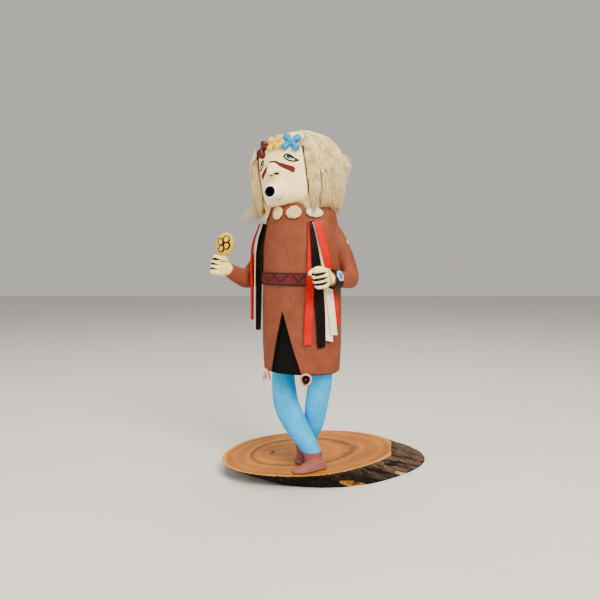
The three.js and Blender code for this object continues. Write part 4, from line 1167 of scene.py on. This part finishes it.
# ---- shells, guard, rattle and ties ----------------------------------------
def set_shells():
    """Four ribbed shells glued round the collar."""
    chalk = pearly("cream_shell", "E8D094", "8A6230", "F6EAC4")
    nacre = pearly("pearly_shell", "F2EED0", "86AA72", "F8CCB8")
    shells = [("shell_1", -1.5, (5.6, 2.2, 6.2), 0.3), ("shell_2", -0.5, (5.4, 2.3, 6.2), -0.4)]
    shells += [("shell_3", 0.5, (7, 2.3, 5.4), 0.05), ("shell_4", 1.5, (7.2, 2.2, 4.4), 0.1)]
    for name, place, half, tilt in shells:
        bm = bmesh.new()
        bmesh.ops.create_uvsphere(bm, u_segments=96, v_segments=40, radius=1)
        grown = []
        for v in bm.verts:
            x, y, z = v.co
            spread = math.hypot(x, z)
            beak = 1 + 0.14 * max(0, z - 0.7) / 0.3
            rib = 1 + 0.035 * math.cos(9 * math.atan2(z, x)) * spread
            flute = 0.17 * math.cos(26 * math.atan2(x, 1.3 - z)) * spread**1.5
            front = 1 + flute if y < 0 else 0.35
            grown.append(math.hypot(x, 1.15 - z))
            v.co = Vector((x * half[0] * rib, y * half[1] * front, z * half[2] * rib * beak))
        at, out = on_tunic(math.radians(36) * place, COLLAR_Z + 0.5, GAP + 0.7)
        facing = Matrix.Rotation(math.atan2(out.x, -out.y), 4, "Z")
        lean = Matrix.Rotation(math.radians(-20), 4, "X")
        turn = Matrix.Rotation(tilt, 4, "Y")
        seat = FIGURE @ Matrix.Translation(at) @ facing @ lean @ turn
        piece = make("sea_" + name, bm, seat, nacre if name == "shell_4" else chalk)
        mark(piece, "growth", grown)
        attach(piece, "root")
        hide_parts(name)


def along_arm(low, high, grow):
    """Keys of a limb that wraps a stretch of the left arm, this much wider."""
    keys = np.array(LEFT_ARM, float)
    shares = np.linspace(low, high, 5)
    path = spline(keys[:, :3], shares)
    size = spline(np.c_[keys[:, 3:5], np.zeros(len(keys))], shares)[:, :2] + grow
    return np.hstack([path, size])


def strap_guard():
    """The leather wrist band, its plaque and its stone."""
    cuff = limb(along_arm(0.9, 0.995, GAP * 0.5), 72, 14, ARM_SIDE, caps=False)
    bmesh.ops.recalc_face_normals(cuff, faces=cuff.faces)
    bmesh.ops.solidify(cuff, geom=cuff.faces[:], thickness=-1.4)
    rims = [e for e in cuff.edges if e.calc_face_angle(0) > 1.0]
    bmesh.ops.bevel(cuff, geom=rims, offset=0.35, segments=3, profile=0.5, affect="EDGES", material=-1)
    leather = hide("black_leather", "060404", "120F0D", 0.5)
    guard = make("leather_bow_guard", cuff, FIGURE, leather, sharp=60)
    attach(guard, "root")
    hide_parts("bow_guard")
    keys = along_arm(0.9, 0.995, 0)
    x, y, z, across, _ = keys[2]
    along = Vector(keys[4][:3] - keys[0][:3]).normalized()
    out = Vector((0, 0, 1)).cross(along).normalized()
    if out.x < 0:
        out.negate()
    out = (out + Vector((0, 0, 0.42))).normalized()
    at = Vector((x, y, z)) + out * (across + 2 * GAP + 2.1) + along * 1.4
    frame_turn = Matrix((along, -out, along.cross(-out))).transposed().to_4x4()
    seat = FIGURE @ Matrix.Translation(at) @ frame_turn
    base = bmesh.new()
    bmesh.ops.create_cone(base, cap_ends=True, segments=6, radius1=4.1, radius2=3.9, depth=1.3)
    upright = Matrix.Rotation(math.pi / 2, 4, "X") @ Matrix.Rotation(math.pi / 6, 4, "Z")
    bmesh.ops.transform(base, matrix=upright, verts=base.verts)
    bmesh.ops.scale(base, vec=(0.86, 1, 1.24), verts=base.verts)
    tops = [f for f in base.faces if f.calc_center_median().y < -0.5]
    bmesh.ops.inset_region(base, faces=tops, thickness=0.8, depth=-0.3)
    rims = base.edges[:]
    bmesh.ops.bevel(base, geom=rims, offset=0.14, segments=2, profile=0.5, affect="EDGES", material=-1)
    silver = glossed("pale_blue_enamel", "A9CCDC", "7FB0CC", 0.3)
    plaque = make("guard_plaque", base, seat, silver, sharp=40)
    stone = blob((0, -0.45, 0), (1.7, 0.9, 2.6), wide=40, high=24)
    gem = make("guard_stone", stone, seat, glossed("teal_stone", "2A6C90", "1C5274", 0.2))
    for piece in (plaque, gem):
        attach(piece, "root")
        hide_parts("bow_guard_stone")


def shape_rattle():
    """The gourd and its handle in one skin, with four black ovals on each face."""
    handle = Vector((3.4, -0.6, 18.5)).normalized()
    top = RIGHT_FIST + handle * 19.4 + Vector((1.9, 1.1, -0.9))
    lean = Vector((4.9, 0.9, 18.5)).normalized()
    face = Vector((math.cos(math.radians(26)), math.sin(math.radians(26)), 0))
    place = Matrix.Translation(top) @ axes(face - lean * face.dot(lean), lean)
    gourd = blob((0, 0, 0), (7.9, 4.6, 10.3), wide=96, high=64)
    stick = tube(24, 20)
    length = Matrix.Translation((0, 0, -11)) @ Matrix.Diagonal((1.7, 1.7, 12, 1))
    bmesh.ops.transform(stick, matrix=length, verts=stick.verts)
    brushed = {"marks": [("ink", "080602")], "coat": 0.12, "grain": 0.05, "wobble": 0.2}
    yellow = painted("yellow_gourd_paint", "D8B400", "BC9800", "ECD020", 0.36, **brushed)
    rattle = make("gourd_rattle", gathered(gourd, stick), FIGURE @ place, yellow)
    fuse(rattle, 0.35, 2)
    x, y, z = points(rattle, FIGURE @ place).T
    uv = np.c_[x, z]
    ink = np.full(len(x), NO_MARK)
    ovals = [(0.9, 5.0, 2.6, 2.9, 0.2), (2.3, -0.4, 2.5, 3.2, -0.3), (-3.5, 1.7, 2.3, 3.0, 0.3)]
    for cx, cy, rx, ry, turn in (*ovals, (-1.6, -3.9, 2.3, 3.1, -0.25)):
        stroke = 0.55 + 0.3 * np.clip(x - cx, 0, 1)
        ink = np.minimum(ink, np.abs(to_patch(uv, oval(cx, cy, rx, ry, turn))) - stroke)
    mark(rattle, "ink", np.where(np.abs(y) > 1.0, ink, NO_MARK))
    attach(rattle, "root")
    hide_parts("rattle")


def fold_ties():
    """Folded ribbon ends under the hem: pale pink over brown-red and dark green."""
    pink = satin("pale_pink_satin", "D09A88", "96584A", "E8BCAA", 0.2)
    red = satin("tie_red_satin", "6E1410", "440A06", "842420", 0.2)
    green = satin("dark_green_satin", "100E06", "060502", "201C0E", 0.1)
    arch = [(-3.6, -9.4), (-5, -5.6), (-4.2, -1.4), (0, 0.6), (4, -1.2), (5.2, -5.2)]
    arch += [(2.6, -9.6), (-0.8, -11), (-3.4, -9.7)]
    tent = [(-4.6, -10.6), (-3.9, -6), (-1.6, -1.2), (0, 0.2), (2.2, -3.4), (5.2, -9.8)]
    sides = {"right": (-37, tent), "left": (39, arch)}
    folds = [("right", -1.0, pink, 1.0), ("right", 0.2, red, 0.74), ("right", 1.2, pink, 0.5)]
    folds += [("left", -0.8, pink, 0.84), ("left", -0.5, red, 0.72), ("left", 0.3, green, 0.56)]
    folds += [("left", 0.8, green, 0.38), ("left", 1.0, green, 0.19)]
    for i, (side, y, dye, size) in enumerate(folds):
        degrees, keys = sides[side]
        at, out = on_tunic(math.radians(degrees), HEM_Z + 4, 1.9)
        facing = Matrix.Rotation(math.atan2(out.x, -out.y), 4, "Z")
        seat = FIGURE @ Matrix.Translation((at.x, at.y, HEM_Z + 0.6)) @ facing
        line = [(x * size, y + 0.06 * x, (z + 5) * size - 4) for x, z in keys]
        line = spline(line, np.linspace(0, 1, 41))
        along = np.gradient(line, axis=0)
        loop = []
        for place, way in zip(line, along):
            level = Vector((-way[2], 0, way[0])).normalized()
            loop.append((Vector(place), (level + Vector((0, -0.9, 0))).normalized()))
        bm, _, _ = strip(loop, 1.7, 0.5, cells=4)
        piece = make(f"hem_tie_{side}_{i}", bm, seat, dye, sharp=50)
        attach(piece, "root")
        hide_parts("hem_tie_" + side)


# ---- assembly --------------------------------------------------------------
set_camera()
sew_ribbons()
set_studio()
saw_slab()
carved = [carve_tunic(), carve_underskirt(), paint_belt(), carve_mask(), *carve_legs(), *carve_hands()]
for piece in carved:
    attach(piece, "root")
    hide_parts("carved_figure")
for piece in (lay_skin(), lace_mask(), *grow_fur()):
    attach(piece, "root")
    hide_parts("fur_wig")
mould_flowers()
set_shells()
strap_guard()
shape_rattle()
fold_ties()
